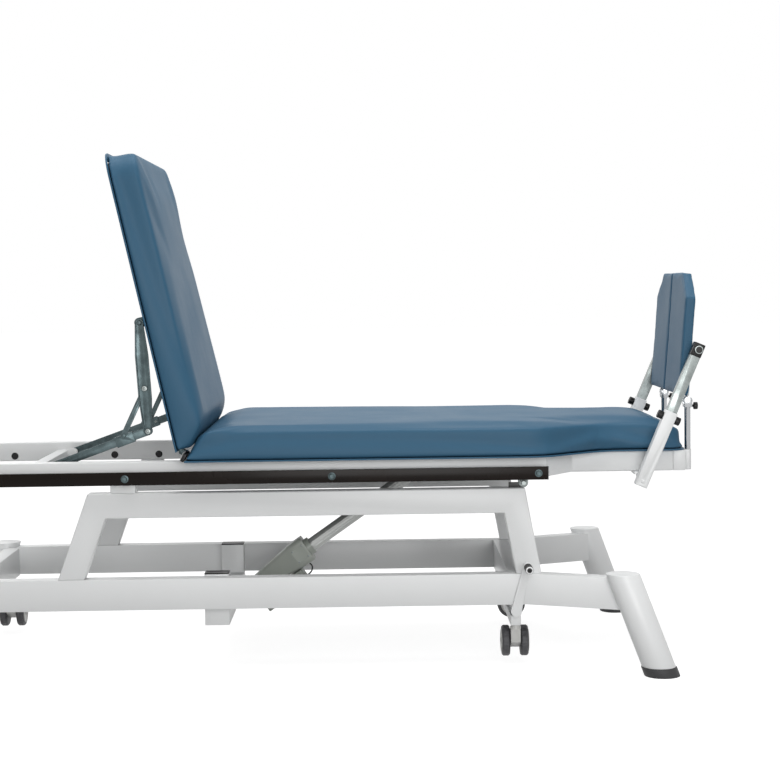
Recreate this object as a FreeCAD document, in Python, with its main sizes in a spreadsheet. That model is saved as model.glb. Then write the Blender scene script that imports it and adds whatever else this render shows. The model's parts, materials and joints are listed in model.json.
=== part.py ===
import FreeCAD, Part
import math
import os
import re
import Sketcher

# Electric tilt table, millimetres. X runs from the head end to the foot end, Z is up,
# Y = 0 is the table's centre plane and Z = 0 is the floor under the rubber feet.

os.makedirs("parts", exist_ok=True)
doc = FreeCAD.newDocument("TiltTable")
sheet = doc.addObject("Spreadsheet::Sheet", "Sizes")

sizes = {
    # base
    "baseWide": 600, "railWide": 40, "railTall": 75, "railTop": 228,
    "headLegX": -831, "footLegX": 763, "footLegY": 370, "legDia": 75, "legTop": 240,
    "legLean": 20.3, "footTall": 22, "footLip": 2, "splayX": 548, "baseTubeLong": 40,
    "headTubeX": -808, "footTubeX": 520, "seam": 0.3,
    # cross member that carries the lift
    "postX": -208, "postLong": 60, "postWide": 40, "postLow": 106, "postUp": 3, "beamTall": 50,
    # trestles
    "trestleHeadX": -511, "trestleFootX": 541, "trestleTop": 436, "trestleTube": 60,
    "headLean": 20, "footLean": 10.5, "restX": -426, "restLong": 60,
    # tilt bearing
    "tiltX": 538, "tiltZ": 448, "pinDia": 14, "pinPlay": 0.05, "bossDia": 23,
    "bearingLong": 35, "plateThick": 8, "earThick": 6, "sideGap": 2,
    # platform frame
    "headEndX": -984, "frameInset": 5, "tubeWide": 30, "tubeTall": 50, "frameTop": 512,
    "slantX": 595, "narrowX": 665, "narrowWide": 400, "footEndX": 945,
    "backTubeX": -665, "hingeTubeX": -300, "liftTubeX": 284, "crossTall": 30,
    # accessory rails
    "barTall": 31, "barThick": 10, "spacerLong": 30, "barZ": 475, "barHeadX": -930,
    "barFootX": 592, "firstStud": -908, "studPitch": 493, "spacerDia": 20,
    # cushions and their boards
    "padWide": 680, "padThick": 80, "boardThick": 10, "boardInset": 22, "padGap": 0.4,
    "seatHeadX": -274, "seatFootX": 945.5, "mitre": 45, "seatTurnX": 590, "seatNarrowX": 742,
    "seatFootWide": 424, "cornerRound": 38, "seatCurve": 105, "mitreGap": 2.3,
    "backLong": 745, "backCorner": 62, "boardPlay": 5,
    # backrest hinge and stays, X and Z at rest
    "hingeX": -278, "hingeZ": 524, "backAngle": 77.6, "knuckleDia": 16, "hingeRelief": 16,
    "anchorX": -632.8, "anchorZ": 487.9, "elbowX": -367, "elbowZ": 582,
    "topPinX": -383, "topPinZ": 845, "linkInset": 21, "linkWide": 20, "linkThick": 4,
    "channelWide": 32, "channelDeep": 8, "channelWall": 3, "blockAt": 61, "blockLong": 46,
    "blockTall": 26, "braceAt": 104, "braceUp": 10, "braceWide": 13, "braceThick": 3,
    "linkPin": 10, "layer": 0.5, "blockWall": 3.5, "lugThick": 3, "lugLong": 24, "lugPlate": 90,
    "hingeInset": 29, "hingeLug": 10, "leafLong": 136, "leafEnd": 24, "leafWide": 24, "leafThick": 4,
    # lift actuator
    "lowPinX": -155, "lowPinZ": 144, "highPinX": 284, "highPinZ": 449, "eyeDia": 24,
    "eyeWide": 26, "liftTube": 34, "liftRod": 20, "gearAt": 150, "gearLong": 44,
    "gearWide": 62, "gearOver": 3, "collarLong": 12, "tubeEndAt": 512, "rodStartAt": 165,
    "housingRound": 12, "taperRound": 9, "leadDia": 4, "controlDeep": 42, "controlWide": 52, "controlLow": 20,
    # footboards and their stays
    "boardWide": 222, "boardTall": 307, "boardPad": 25, "seamHalf": 1.5, "boardLean": 4.4,
    "boardFront": 30, "boardUp": 9.7, "kneeZ": 633, "rodY": 176,
    "rodDia": 15, "socketDia": 18, "kneeDia": 20, "kneeWide": 20, "chamferY": 80, "chamferZ": 60,
    "boardRound": 12, "boardGap": 4.5, "stayGap": 16, "stripWide": 44, "stripThick": 4, "kneePin": 8,
    "kneeLong": 18,
    "stayX": 832, "stayZ": 443, "pinX": 967, "pinZ": 761, "stayTube": 30, "stayInner": 25,
    "stayPlay": 0.2, "stayPin": 10, "stayPinPlay": 0.4, "clampAt": 166,
    "stayOuterEnd": 182, "stayDrop": 14, "knobDia": 20, "knobLong": 14,
    # castors and pedals
    "wheelDia": 75, "wheelWide": 20, "wheelGap": 25, "wheelLow": 17.5, "trail": 29,
    "footCastorInset": 28, "headCastorInset": 95, "footCastorX": 517, "headCastorX": -806, "castorBar": 25,
    "barLow": 99, "shaftDia": 16, "shaftUp": 14, "pedalX": 27, "pedalZ": 110, "crankLong": 31.4,
    "pedalReach": 76, "pedalDia": 18, "leverThick": 8, "leverWide": 22, "leverGap": 4, "gripLong": 24,
    "lugInset": 110, "yokeInset": 160, "yokeThick": 6, "yokeDrop": 8, "yokeTall": 28, "yokeReach": 16, "yokeSlotLow": 8.5,
    "crankGap": 12, "crankRise": 10, "crankPin": 8, "crankThick": 8,
}
for row, (alias, number) in enumerate(sizes.items(), start=1):
    sheet.set("A%d" % row, alias)
    sheet.set("B%d" % row, str(number))
    sheet.setAlias("B%d" % row, alias)
doc.recompute()

near, far = -1, 1
sides = (("near", near), ("far", far))


def cell(alias):
    return float(sheet.get(alias))


def cells(text):
    # writes the sheet's name before each alias in an expression
    return re.sub(r"[A-Za-z]\w*", lambda m: ("Sizes." if m.group() in sizes else "") + m.group(), text)


def bind(thing, **sizesOf):
    for name, text in sizesOf.items():
        thing.setExpression(name, cells(str(text)))
    return thing


def at(x, y, z, axis=None, turn=0.0):
    spin = FreeCAD.Rotation(FreeCAD.Vector(*axis), turn) if axis else FreeCAD.Rotation()
    return FreeCAD.Placement(FreeCAD.Vector(x, y, z), spin)


def along(start, end):
    # a placement at start whose Z axis points to end
    way = FreeCAD.Vector(*end).sub(FreeCAD.Vector(*start))
    return FreeCAD.Placement(FreeCAD.Vector(*start), FreeCAD.Rotation(FreeCAD.Vector(0, 0, 1), way))


def box(name, length, width, height, place):
    thing = bind(doc.addObject("Part::Box", name), Length=length, Width=width, Height=height)
    thing.Placement = place
    return thing


def rod(name, radius, height, place):
    thing = bind(doc.addObject("Part::Cylinder", name), Radius=radius, Height=height)
    thing.Placement = place
    return thing


def cross(name, radius, length, x, y, z):
    # a cylinder along Y, centred on y
    thing = rod(name, radius, length, at(0, 0, 0))
    thing.Placement = FreeCAD.Placement(FreeCAD.Vector(x, y, z), FreeCAD.Rotation(FreeCAD.Vector(1, 0, 0), -90))
    doc.recompute()
    thing.Placement.Base = FreeCAD.Vector(x, y - thing.Height.Value / 2, z)
    return thing


def centred(name, length, width, height, x, y, low):
    # a box centred on x and y that stands on low
    thing = box(name, length, width, height, at(0, 0, 0))
    doc.recompute()
    thing.Placement = at(x - thing.Length.Value / 2, y - thing.Width.Value / 2, low)
    return thing


def fused(name, things):
    whole = doc.addObject("Part::MultiFuse", name)
    whole.Shapes = things
    whole.Refine = True
    return whole


def cut(name, base, tool):
    left = doc.addObject("Part::Cut", name)
    left.Base = base
    left.Tool = tool
    return left


def group(name, things):
    # several equal pieces that share one file
    doc.recompute()
    whole = doc.addObject("Part::Compound", name)
    whole.Links = things
    return whole


def label(thing, name):
    thing.Label = name
    nodes.append(thing)
    return thing


nodes = []


def bodyOn(name, plane, corners, rounds=None):
    # a body with one closed outline of straight edges, each corner bound to the sheet
    body = doc.addObject("PartDesign::Body", name)
    sketch = body.newObject("Sketcher::SketchObject", name + "Sketch")
    face = [f for f in body.Origin.OriginFeatures if f.Role == plane][0]
    sketch.AttachmentSupport = [(face, "")]
    sketch.MapMode = "FlatFace"
    count = len(corners)
    spots = [FreeCAD.Vector(90 * math.cos(2 * math.pi * i / count), 90 * math.sin(2 * math.pi * i / count), 0)
             for i in range(count)]
    for i in range(count):
        sketch.addGeometry(Part.LineSegment(spots[i], spots[(i + 1) % count]), False)
    for i in range(count):
        sketch.addConstraint(Sketcher.Constraint("Coincident", i, 2, (i + 1) % count, 1))
    for i, corner in enumerate(corners):
        for kind, text in zip(("DistanceX", "DistanceY"), corner):
            spot = spots[i].x if kind == "DistanceX" else spots[i].y
            index = sketch.addConstraint(Sketcher.Constraint(kind, -1, 1, i, 1, spot))
            sketch.setExpression("Constraints[%d]" % index, cells(text))
    return body, sketch


def padded(name, plane, corners, length, both=False):
    body, sketch = bodyOn(name, plane, corners)
    pad = body.newObject("PartDesign::Pad", name + "Pad")
    pad.Profile = sketch
    pad.Midplane = both
    bind(pad, Length=length)
    sketch.Visibility = False
    doc.recompute()
    return body


def rounded(body, size, pick):
    # fillets the edges of the body's last feature that pick accepts
    doc.recompute()
    base = body.Tip
    edges = ["Edge%d" % (i + 1) for i, edge in enumerate(base.Shape.Edges) if pick(edge)]
    fillet = body.newObject("PartDesign::Fillet", "%sRound%d" % (body.Name, len(body.Group)))
    fillet.Base = (base, edges)
    bind(fillet, Radius=size)
    doc.recompute()
    return body


def upright(edge):
    ends = [v.Point for v in edge.Vertexes]
    return len(ends) == 2 and abs(ends[0].x - ends[1].x) < 1e-6 and abs(ends[0].y - ends[1].y) < 1e-6


def turned(name, profile):
    # a revolved body about its Z axis, from a half outline of radius and height
    body, sketch = bodyOn(name, "XZ_Plane", profile)
    spin = body.newObject("PartDesign::Revolution", name + "Spin")
    spin.Profile = sketch
    spin.ReferenceAxis = (sketch, ["V_Axis"])
    spin.Angle = 360.0
    doc.recompute()
    return body


# Base rails: straight to the splay, then bent out to the foot legs

railY = cell("baseWide") / 2 - cell("railWide") / 2
railInner = cell("baseWide") / 2 - cell("railWide")
frameHalf = cell("baseWide") / 2 - cell("frameInset")
linkY = frameHalf - cell("tubeWide") - cell("linkInset")
railLow = cell("railTop") - cell("railTall")
lean = math.tan(math.radians(cell("legLean")))
splay = math.atan2(cell("footLegY") - railY, cell("footLegX") - cell("splayX"))


def legAxis(x, y, way, up):
    # the leg's centre at a height; the foot legs also lean along the splay
    drop = cell("legTop") - up
    slip = drop * lean
    side = slip * math.tan(splay) if way > 0 else 0.0
    return (x + way * slip, y + math.copysign(side, y), up)


def legStock(name, radius, x, y, way):
    top = legAxis(x, y, way, cell("legTop") + cell("legDia"))
    low = legAxis(x, y, way, -cell("legDia"))
    stock = rod(name, radius, 10, along(low, top))
    stock.setExpression("Height", None)
    stock.Height = FreeCAD.Vector(*top).distanceToPoint(FreeCAD.Vector(*low))
    return stock


def slab(name, low, high):
    # a level slice of the space that holds all four legs
    margin = cell("legDia") * 4
    thing = doc.addObject("Part::Box", name)
    thing.Length = cell("footLegX") - cell("headLegX") + 2 * margin
    thing.Width, thing.Height = 2 * (cell("footLegY") + margin), high - low
    thing.Placement = at(cell("headLegX") - margin, -cell("footLegY") - margin, low)
    return thing


def common(name, first, second):
    both = doc.addObject("Part::Common", name)
    both.Base, both.Tool = first, second
    return both


legSpots = [("HeadNear", cell("headLegX"), -railY, -1), ("HeadFar", cell("headLegX"), railY, -1),
            ("FootNear", cell("footLegX"), -cell("footLegY"), 1),
            ("FootFar", cell("footLegX"), cell("footLegY"), 1)]
legs, feet, copes = [], [], {}
for tag, x, y, way in legSpots:
    stock = legStock("LegStock" + tag, "legDia / 2", x, y, way)
    legs.append(common("Leg" + tag, stock, slab("LegSlab" + tag, cell("footTall"), cell("legTop"))))
    sole = legStock("FootStock" + tag, "legDia / 2 + footLip", x, y, way)
    feet.append(common("Foot" + tag, sole, slab("FootSlab" + tag, 0, cell("footTall"))))
    copes[tag] = legStock("Cope" + tag, "legDia / 2 + seam", x, y, way)
label(group("Legs", legs), "legs")
label(group("RubberFeet", feet), "rubber_feet")

half = splay / 2
for side, sign in sides:
    tag = side.capitalize()
    outer, inner = sign * cell("baseWide") / 2, sign * (cell("baseWide") / 2 - cell("railWide"))
    body = padded("RailStock" + tag, "XY_Plane", [
        ("headLegX", "%d * baseWide / 2" % sign),
        ("headLegX", "%d * (baseWide / 2 - railWide)" % sign),
        ("splayX + railWide / 2 * tan(%.9g)" % math.degrees(half), "%d * (baseWide / 2 - railWide)" % sign),
        ("footLegX + railWide / 2 * sin(%.9g)" % math.degrees(splay),
         "%d * (footLegY - railWide / 2 * cos(%.9g))" % (sign, math.degrees(splay))),
        ("footLegX - railWide / 2 * sin(%.9g)" % math.degrees(splay),
         "%d * (footLegY + railWide / 2 * cos(%.9g))" % (sign, math.degrees(splay))),
        ("splayX - railWide / 2 * tan(%.9g)" % math.degrees(half), "%d * baseWide / 2" % sign),
    ], "railTall")
    body.Placement = at(0, 0, railLow)
    coped = cut("RailHead" + tag, body, copes["Head" + tag])
    label(cut("Rail" + tag, coped, copes["Foot" + tag]), "base_rail_" + side)

# Cross tubes between the rails, each with two lugs below for the castor shaft

legInner = railY - cell("legDia") / 2 - cell("seam")
shaftZ = cell("barLow") + cell("castorBar") + cell("shaftUp")


def lug(name, x, y):
    plate = centred(name + "Plate", "leverWide + 4", "leverThick", "%.9g" % (railLow - shaftZ), x, y, shaftZ)
    eye = cross(name + "Eye", "leverWide / 2 + 2", "leverThick", x, y, shaftZ)
    hole = cross(name + "Hole", "shaftDia / 2 + pinPlay", "leverThick * 3", x, y, shaftZ)
    return cut(name, fused(name + "Solid", [plate, eye]), hole)


for name, tubeX, halfLong, shaftX in (
        ("head_cross_tube", cell("headTubeX"), legInner, cell("headCastorX")),
        ("foot_cross_tube", cell("footTubeX"), railInner, cell("footCastorX"))):
    tag = name.title().replace("_", "")
    tube = centred(tag + "Bar", "baseTubeLong", "%.9g" % (2 * halfLong), "railTall", tubeX, 0, railLow)
    lugY = railInner - cell("lugInset")
    lugs = [lug(tag + "Lug%d" % i, shaftX, y) for i, y in enumerate((-lugY, lugY))]
    label(fused(tag, [tube] + lugs), name)

# Lift cross member: two posts inside the rails, a low beam and the actuator's fork

postY = railInner - cell("postWide") / 2
posts = [centred("Post" + side.capitalize(), "postLong", "postWide", "railTop + postUp - postLow",
                 cell("postX"), sign * postY, cell("postLow")) for side, sign in sides]
beam = centred("LowBeam", "postLong", "baseWide - 2 * railWide - 2 * postWide", "beamTall",
               cell("postX"), 0, cell("postLow"))


def forkEar(name, pinX, pinZ, rootX, rootZ, rootLong, rootTall, y):
    eye = cross(name + "Eye", "eyeDia / 2", "earThick", pinX, y, pinZ)
    root = box(name + "Root", "%.9g" % rootLong, "earThick", "%.9g" % rootTall,
               at(rootX, y - cell("earThick") / 2, rootZ))
    return fused(name, [root, eye])


earY = cell("eyeWide") / 2 + cell("sideGap") / 2 + cell("earThick") / 2
beamFace = cell("postX") + cell("postLong") / 2
lowEars = [forkEar("LowEar%d" % i, cell("lowPinX"), cell("lowPinZ"), beamFace,
                   cell("lowPinZ") - cell("eyeDia") / 2, cell("lowPinX") - beamFace, cell("eyeDia"), y)
           for i, y in enumerate((-earY, earY))]
lowPin = cross("LowPin", "pinDia / 2", "2 * %.9g" % (earY + cell("earThick") / 2 + 3), cell("lowPinX"), 0,
               cell("lowPinZ"))
label(fused("LiftMember", posts + [beam] + lowEars + [lowPin]), "lift_cross_member")

# Trestles: mitred tube, the head leg leaning more than the foot leg

for side, sign in sides:
    tag = side.capitalize()
    fall = "(trestleTop - railTop)"
    under = "(trestleTop - trestleTube - railTop)"
    headFoot = "trestleHeadX - %s * tan(headLean)" % fall
    footFoot = "trestleFootX + %s * tan(footLean)" % fall
    body = padded("Trestle" + tag, "XZ_Plane", [
        (headFoot, "railTop"),
        ("trestleHeadX", "trestleTop"),
        ("trestleFootX", "trestleTop"),
        (footFoot, "railTop"),
        (footFoot + " - trestleTube / cos(footLean)", "railTop"),
        (footFoot + " - trestleTube / cos(footLean) - %s * tan(footLean)" % under, "trestleTop - trestleTube"),
        (headFoot + " + trestleTube / cos(headLean) + %s * tan(headLean)" % under, "trestleTop - trestleTube"),
        (headFoot + " + trestleTube / cos(headLean)", "railTop"),
    ], "railWide", both=True)
    body.Placement = at(0, sign * railY, 0)
    label(body, "trestle_" + side)

# Rest blocks under the platform and the tilt bearings on the trestles' foot corners

frameLow = cell("frameTop") - cell("tubeTall")
rests = [centred("Rest" + side.capitalize(), "restLong", "railWide - 8",
                 "frameTop - tubeTall - trestleTop - seam", cell("restX"), sign * railY, cell("trestleTop"))
         for side, sign in sides]
label(group("Rests", rests), "rest_blocks")

bearings = []
for side, sign in sides:
    tag = side.capitalize()
    y = sign * railY
    foot = box("BearingFoot" + tag, "bearingLong", "plateThick", "tiltZ - trestleTop",
               at(cell("tiltX") - cell("bearingLong"), y - cell("plateThick") / 2, cell("trestleTop")))
    eye = cross("BearingEye" + tag, "bossDia / 2", "plateThick", cell("tiltX"), y, cell("tiltZ"))
    hole = cross("BearingHole" + tag, "pinDia / 2 + pinPlay", "plateThick * 2", cell("tiltX"), y, cell("tiltZ"))
    bearings.append(cut("Bearing" + tag, fused("BearingSolid" + tag, [foot, eye]), hole))
label(group("Bearings", bearings), "tilt_bearings")

# Platform frame: straight side tubes, slanted foot rails and cross tubes

for side, sign in sides:
    tag = side.capitalize()
    y = sign * (frameHalf - cell("tubeWide") / 2)
    tube = box("SideTube" + tag, "slantX - headEndX", "tubeWide", "tubeTall",
               at(cell("headEndX"), y - cell("tubeWide") / 2, frameLow))
    label(tube, "side_tube_" + side)
    footRail = padded("FootRail" + tag, "XY_Plane", [
        ("slantX", "%d * (baseWide / 2 - frameInset)" % sign),
        ("slantX", "%d * (baseWide / 2 - frameInset - tubeWide)" % sign),
        ("narrowX", "%d * (narrowWide / 2 - tubeWide)" % sign),
        ("footEndX - tubeWide", "%d * (narrowWide / 2 - tubeWide)" % sign),
        ("footEndX - tubeWide", "%d * narrowWide / 2" % sign),
        ("narrowX", "%d * narrowWide / 2" % sign),
    ], "tubeTall")
    footRail.Placement = at(0, 0, frameLow)
    label(footRail, "foot_rail_" + side)

inside = "baseWide - 2 * frameInset - 2 * tubeWide"
headTube = centred("HeadTube", "tubeWide", inside, "tubeTall",
                   cell("headEndX") + cell("tubeWide") / 2, 0, frameLow)
crossTubes = [centred(name, "tubeWide", inside, "crossTall", cell(alias), 0, low) for name, alias, low in (
    ("BackTube", "backTubeX", frameLow), ("HingeTube", "hingeTubeX", frameLow),
    ("LiftTube", "liftTubeX", cell("frameTop") - cell("crossTall")))]
footTube = centred("FootTube", "tubeWide", "narrowWide", "tubeTall",
                   cell("footEndX") - cell("tubeWide") / 2, 0, frameLow)

anchors = []
for side, sign in sides:
    y = sign * (linkY - cell("linkThick") / 2 - cell("layer") - cell("earThick") / 2)
    backFace = cell("backTubeX") + cell("tubeWide") / 2
    tag = side.capitalize()
    root = box("AnchorRoot" + tag, "anchorX - backTubeX - tubeWide / 2", "earThick", "linkWide",
               at(backFace, y - cell("earThick") / 2, cell("anchorZ") - cell("linkWide") / 2))
    eye = cross("AnchorEye" + tag, "linkWide / 2", "earThick", cell("anchorX"), y, cell("anchorZ"))
    pinLong = cell("earThick") + cell("layer") + cell("linkThick") + 3
    pin = cross("AnchorPin" + tag, "linkPin / 2", "%.9g" % pinLong, cell("anchorX"),
                y + sign * (pinLong - cell("earThick")) / 2, cell("anchorZ"))
    anchors.append(fused("Anchor" + tag, [root, eye, pin]))
backTube = fused("BackTubeWithAnchors", [crossTubes[0]] + anchors)

# Hinge lugs stand on the hinge tube, in pairs beside the backrest's knuckles
lugWide = cell("hingeLug")
hingeY = frameHalf - cell("tubeWide") - cell("hingeInset")
hingeLugs = []
for i, (sign, step) in enumerate(((-1, -1), (-1, 1), (1, -1), (1, 1))):
    y = sign * hingeY + step * (cell("knuckleDia") / 2 + lugWide / 2 + cell("layer"))
    stem = padded("LugStem%d" % i, "XZ_Plane", [
        ("hingeTubeX", "frameTop - tubeTall + crossTall"),
        ("hingeTubeX + tubeWide / 2", "frameTop - tubeTall + crossTall"),
        ("hingeX + knuckleDia / 2", "hingeZ"), ("hingeX - knuckleDia / 2", "hingeZ")],
        "hingeLug", both=True)
    stem.Placement = at(0, y, 0)
    eye = cross("LugEye%d" % i, "knuckleDia / 2", "hingeLug", cell("hingeX"), y, cell("hingeZ"))
    hingeLugs += [stem, eye]
for i, sign in enumerate((-1, 1)):
    hingeLugs.append(cross("HingePin%d" % i, "knuckleDia / 4", "2 * hingeLug + knuckleDia",
                           cell("hingeX"), sign * hingeY, cell("hingeZ")))
hingeTube = fused("HingeTubeWithLugs", [crossTubes[1]] + hingeLugs)

# Fork that hangs from the lift tube and holds the actuator's upper pin
highEars = []
for i, y in enumerate((-earY, earY)):
    root = box("HighRoot%d" % i, "eyeDia", "earThick", "frameTop - crossTall - highPinZ",
               at(cell("highPinX") - cell("eyeDia") / 2, y - cell("earThick") / 2, cell("highPinZ")))
    eye = cross("HighEye%d" % i, "eyeDia / 2", "earThick", cell("highPinX"), y, cell("highPinZ"))
    highEars += [root, eye]
liftTube = fused("LiftTubeWithFork", [crossTubes[2]] + highEars)
label(group("CrossTubes", [headTube, backTube, footTube]), "platform_cross_tubes")
label(hingeTube, "hinge_cross_tube")
label(liftTube, "lift_cross_tube")

# Ears under the side tubes that turn on the tilt bearings, with their pins
tiltEars = []
for side, sign in sides:
    tag = side.capitalize()
    parts = []
    for i, step in enumerate((-1, 1)):
        y = sign * railY + step * (cell("plateThick") / 2 + cell("sideGap") + cell("earThick") / 2)
        root = centred("TiltRoot%s%d" % (tag, i), "bossDia", "earThick", "frameTop - tubeTall - tiltZ",
                       cell("tiltX"), y, cell("tiltZ"))
        eye = cross("TiltEye%s%d" % (tag, i), "bossDia / 2", "earThick", cell("tiltX"), y, cell("tiltZ"))
        parts += [root, eye]
    reach = cell("plateThick") / 2 + cell("sideGap") + cell("earThick")
    parts.append(cross("TiltPin" + tag, "pinDia / 2", "%.9g" % (2 * reach), cell("tiltX"),
                       sign * railY, cell("tiltZ")))
    parts.append(cross("TiltHead" + tag, "pinDia / 2 + 2.5", "6", cell("tiltX"),
                       sign * (railY + reach + 3), cell("tiltZ")))
    tiltEars.append(fused("TiltEars" + tag, parts))
label(group("TiltEars", tiltEars), "tilt_ears")

# Accessory rails on round spacers
for side, sign in sides:
    tag = side.capitalize()
    y = sign * (frameHalf + cell("spacerLong") + cell("barThick") / 2)
    flat = box("AccessoryBar" + tag, "barFootX - barHeadX", "barThick", "barTall",
               at(cell("barHeadX"), y - cell("barThick") / 2, cell("barZ") - cell("barTall") / 2))
    middle = sign * (frameHalf + cell("spacerLong") / 2)
    studs = [cross("Spacer%s%d" % (tag, i), "spacerDia / 2", "spacerLong",
                   cell("firstStud") + i * cell("studPitch"), middle, cell("barZ")) for i in range(4)]
    label(fused("AccessoryRail" + tag, [flat] + studs), "accessory_rail_" + side)

# Seat cushion on its board, mitred at the head end and narrowed at the foot end

seatLow = cell("frameTop") + cell("padGap")
seatBoard = padded("SeatBoard", "XY_Plane", [
    ("seatHeadX + mitre", "-(padWide / 2 - boardInset)"),
    ("seatTurnX - boardInset / 2", "-(padWide / 2 - boardInset)"),
    ("seatNarrowX - boardInset / 2", "-(seatFootWide / 2 - boardInset)"),
    ("seatFootX - boardInset", "-(seatFootWide / 2 - boardInset)"),
    ("seatFootX - boardInset", "seatFootWide / 2 - boardInset"),
    ("seatNarrowX - boardInset / 2", "seatFootWide / 2 - boardInset"),
    ("seatTurnX - boardInset / 2", "padWide / 2 - boardInset"),
    ("seatHeadX + mitre", "padWide / 2 - boardInset")], "boardThick")
seatBoard.Placement = at(0, 0, cell("frameTop"))
label(seatBoard, "seat_board")

seatPlan = padded("SeatPlan", "XY_Plane", [
    ("seatHeadX", "-padWide / 2"), ("seatTurnX", "-padWide / 2"),
    ("seatNarrowX", "-seatFootWide / 2"), ("seatFootX", "-seatFootWide / 2"),
    ("seatFootX", "seatFootWide / 2"), ("seatNarrowX", "seatFootWide / 2"),
    ("seatTurnX", "padWide / 2"), ("seatHeadX", "padWide / 2")], "padThick")
turnX, narrowX, endX = cell("seatTurnX"), cell("seatNarrowX"), cell("seatFootX")
rounded(seatPlan, "cornerRound", lambda e: upright(e) and abs(e.Vertexes[0].X - endX) < 1)
rounded(seatPlan, "seatCurve", lambda e: upright(e) and
        min(abs(e.Vertexes[0].X - turnX), abs(e.Vertexes[0].X - narrowX)) < 1)
seatPlan.Placement = at(0, 0, seatLow)
mitreCut = padded("SeatMitre", "XZ_Plane", [
    ("seatHeadX - 80", "frameTop - 20"), ("seatHeadX - mitre * 20 / padThick", "frameTop - 20"),
    ("seatHeadX + mitre * (padThick + 20) / padThick", "frameTop + padThick + 20"),
    ("seatHeadX - 80", "frameTop + padThick + 20")], "padWide + 20", both=True)
recess = padded("SeatRecess", "XY_Plane", [
    ("seatHeadX + mitre - padGap", "-(padWide / 2 - boardInset + padGap)"),
    ("seatTurnX - boardInset / 2 + padGap", "-(padWide / 2 - boardInset + padGap)"),
    ("seatNarrowX - boardInset / 2 + padGap", "-(seatFootWide / 2 - boardInset + padGap)"),
    ("seatFootX - boardInset + padGap", "-(seatFootWide / 2 - boardInset + padGap)"),
    ("seatFootX - boardInset + padGap", "seatFootWide / 2 - boardInset + padGap"),
    ("seatNarrowX - boardInset / 2 + padGap", "seatFootWide / 2 - boardInset + padGap"),
    ("seatTurnX - boardInset / 2 + padGap", "padWide / 2 - boardInset + padGap"),
    ("seatHeadX + mitre - padGap", "padWide / 2 - boardInset + padGap")], "boardThick + padGap")
recess.Placement = at(0, 0, cell("frameTop"))
label(cut("SeatPad", cut("SeatMitred", seatPlan, mitreCut), recess), "seat_pad")

# Backrest, drawn flat about its hinge axis and then raised

raised = at(cell("hingeX"), 0, cell("hingeZ"), (0, 1, 0), cell("backAngle"))
drop = "(hingeZ - frameTop)"


def raise_(thing):
    thing.Placement = raised
    return thing


backBoard = padded("BackBoard", "XZ_Plane", [
    ("-backLong + boardInset", "-" + drop), ("-hingeRelief - boardInset", "-" + drop),
    ("-hingeRelief - boardInset", "boardThick - " + drop),
    ("-backLong + boardInset", "boardThick - " + drop)], "padWide - 2 * boardInset", both=True)
headX = -cell("backLong")


def endEdge(edge, x):
    # an edge through the thickness at the board's head end
    ends = edge.Vertexes
    return len(ends) == 2 and max(abs(ends[0].X - x), abs(ends[1].X - x)) < 1 and abs(ends[0].Z - ends[1].Z) > 1


rounded(backBoard, "backCorner - boardInset", lambda e: endEdge(e, headX + cell("boardInset")))
label(raise_(backBoard), "back_board")

# the end that meets the seat is cut back to the seat's mitre as it stands when raised
rise = math.radians(cell("backAngle"))


def flatSpot(x, z):
    # a point beside the raised hinge, in the flat drawing
    return (x * math.cos(rise) - z * math.sin(rise), x * math.sin(rise) + z * math.cos(rise))


seatEdge = cell("seatHeadX") - cell("hingeX")
fall = cell("hingeZ") - cell("frameTop")
lowSpot = flatSpot(seatEdge - cell("mitreGap"), -fall)
highSpot = flatSpot(seatEdge + cell("mitre") - cell("mitreGap"), cell("padThick") - fall)
slope = (highSpot[1] - lowSpot[1]) / (highSpot[0] - lowSpot[0])
topZ = cell("padThick") - fall
shoulder = lowSpot[1] + slope * (-cell("hingeRelief") - lowSpot[0])
topX = lowSpot[0] + (topZ - lowSpot[1]) / slope
backProfile = padded("BackProfile", "XZ_Plane", [
    ("-backLong", "padGap - " + drop), ("-hingeRelief", "padGap - " + drop),
    ("-hingeRelief", "%.9g" % shoulder), ("%.9g" % topX, "padThick - " + drop),
    ("-backLong", "padThick - " + drop)], "padWide", both=True)
rounded(backProfile, "backCorner", lambda e: endEdge(e, headX))
backRecess = padded("BackRecess", "XZ_Plane", [
    ("-backLong + boardInset - padGap", "-boardPlay - " + drop),
    ("-hingeRelief - boardInset + padGap", "-boardPlay - " + drop),
    ("-hingeRelief - boardInset + padGap", "boardThick + padGap - " + drop),
    ("-backLong + boardInset - padGap", "boardThick + padGap - " + drop)],
    "padWide - 2 * boardInset + 2 * padGap", both=True)
label(raise_(cut("BackPad", backProfile, backRecess)), "back_pad")

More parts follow.
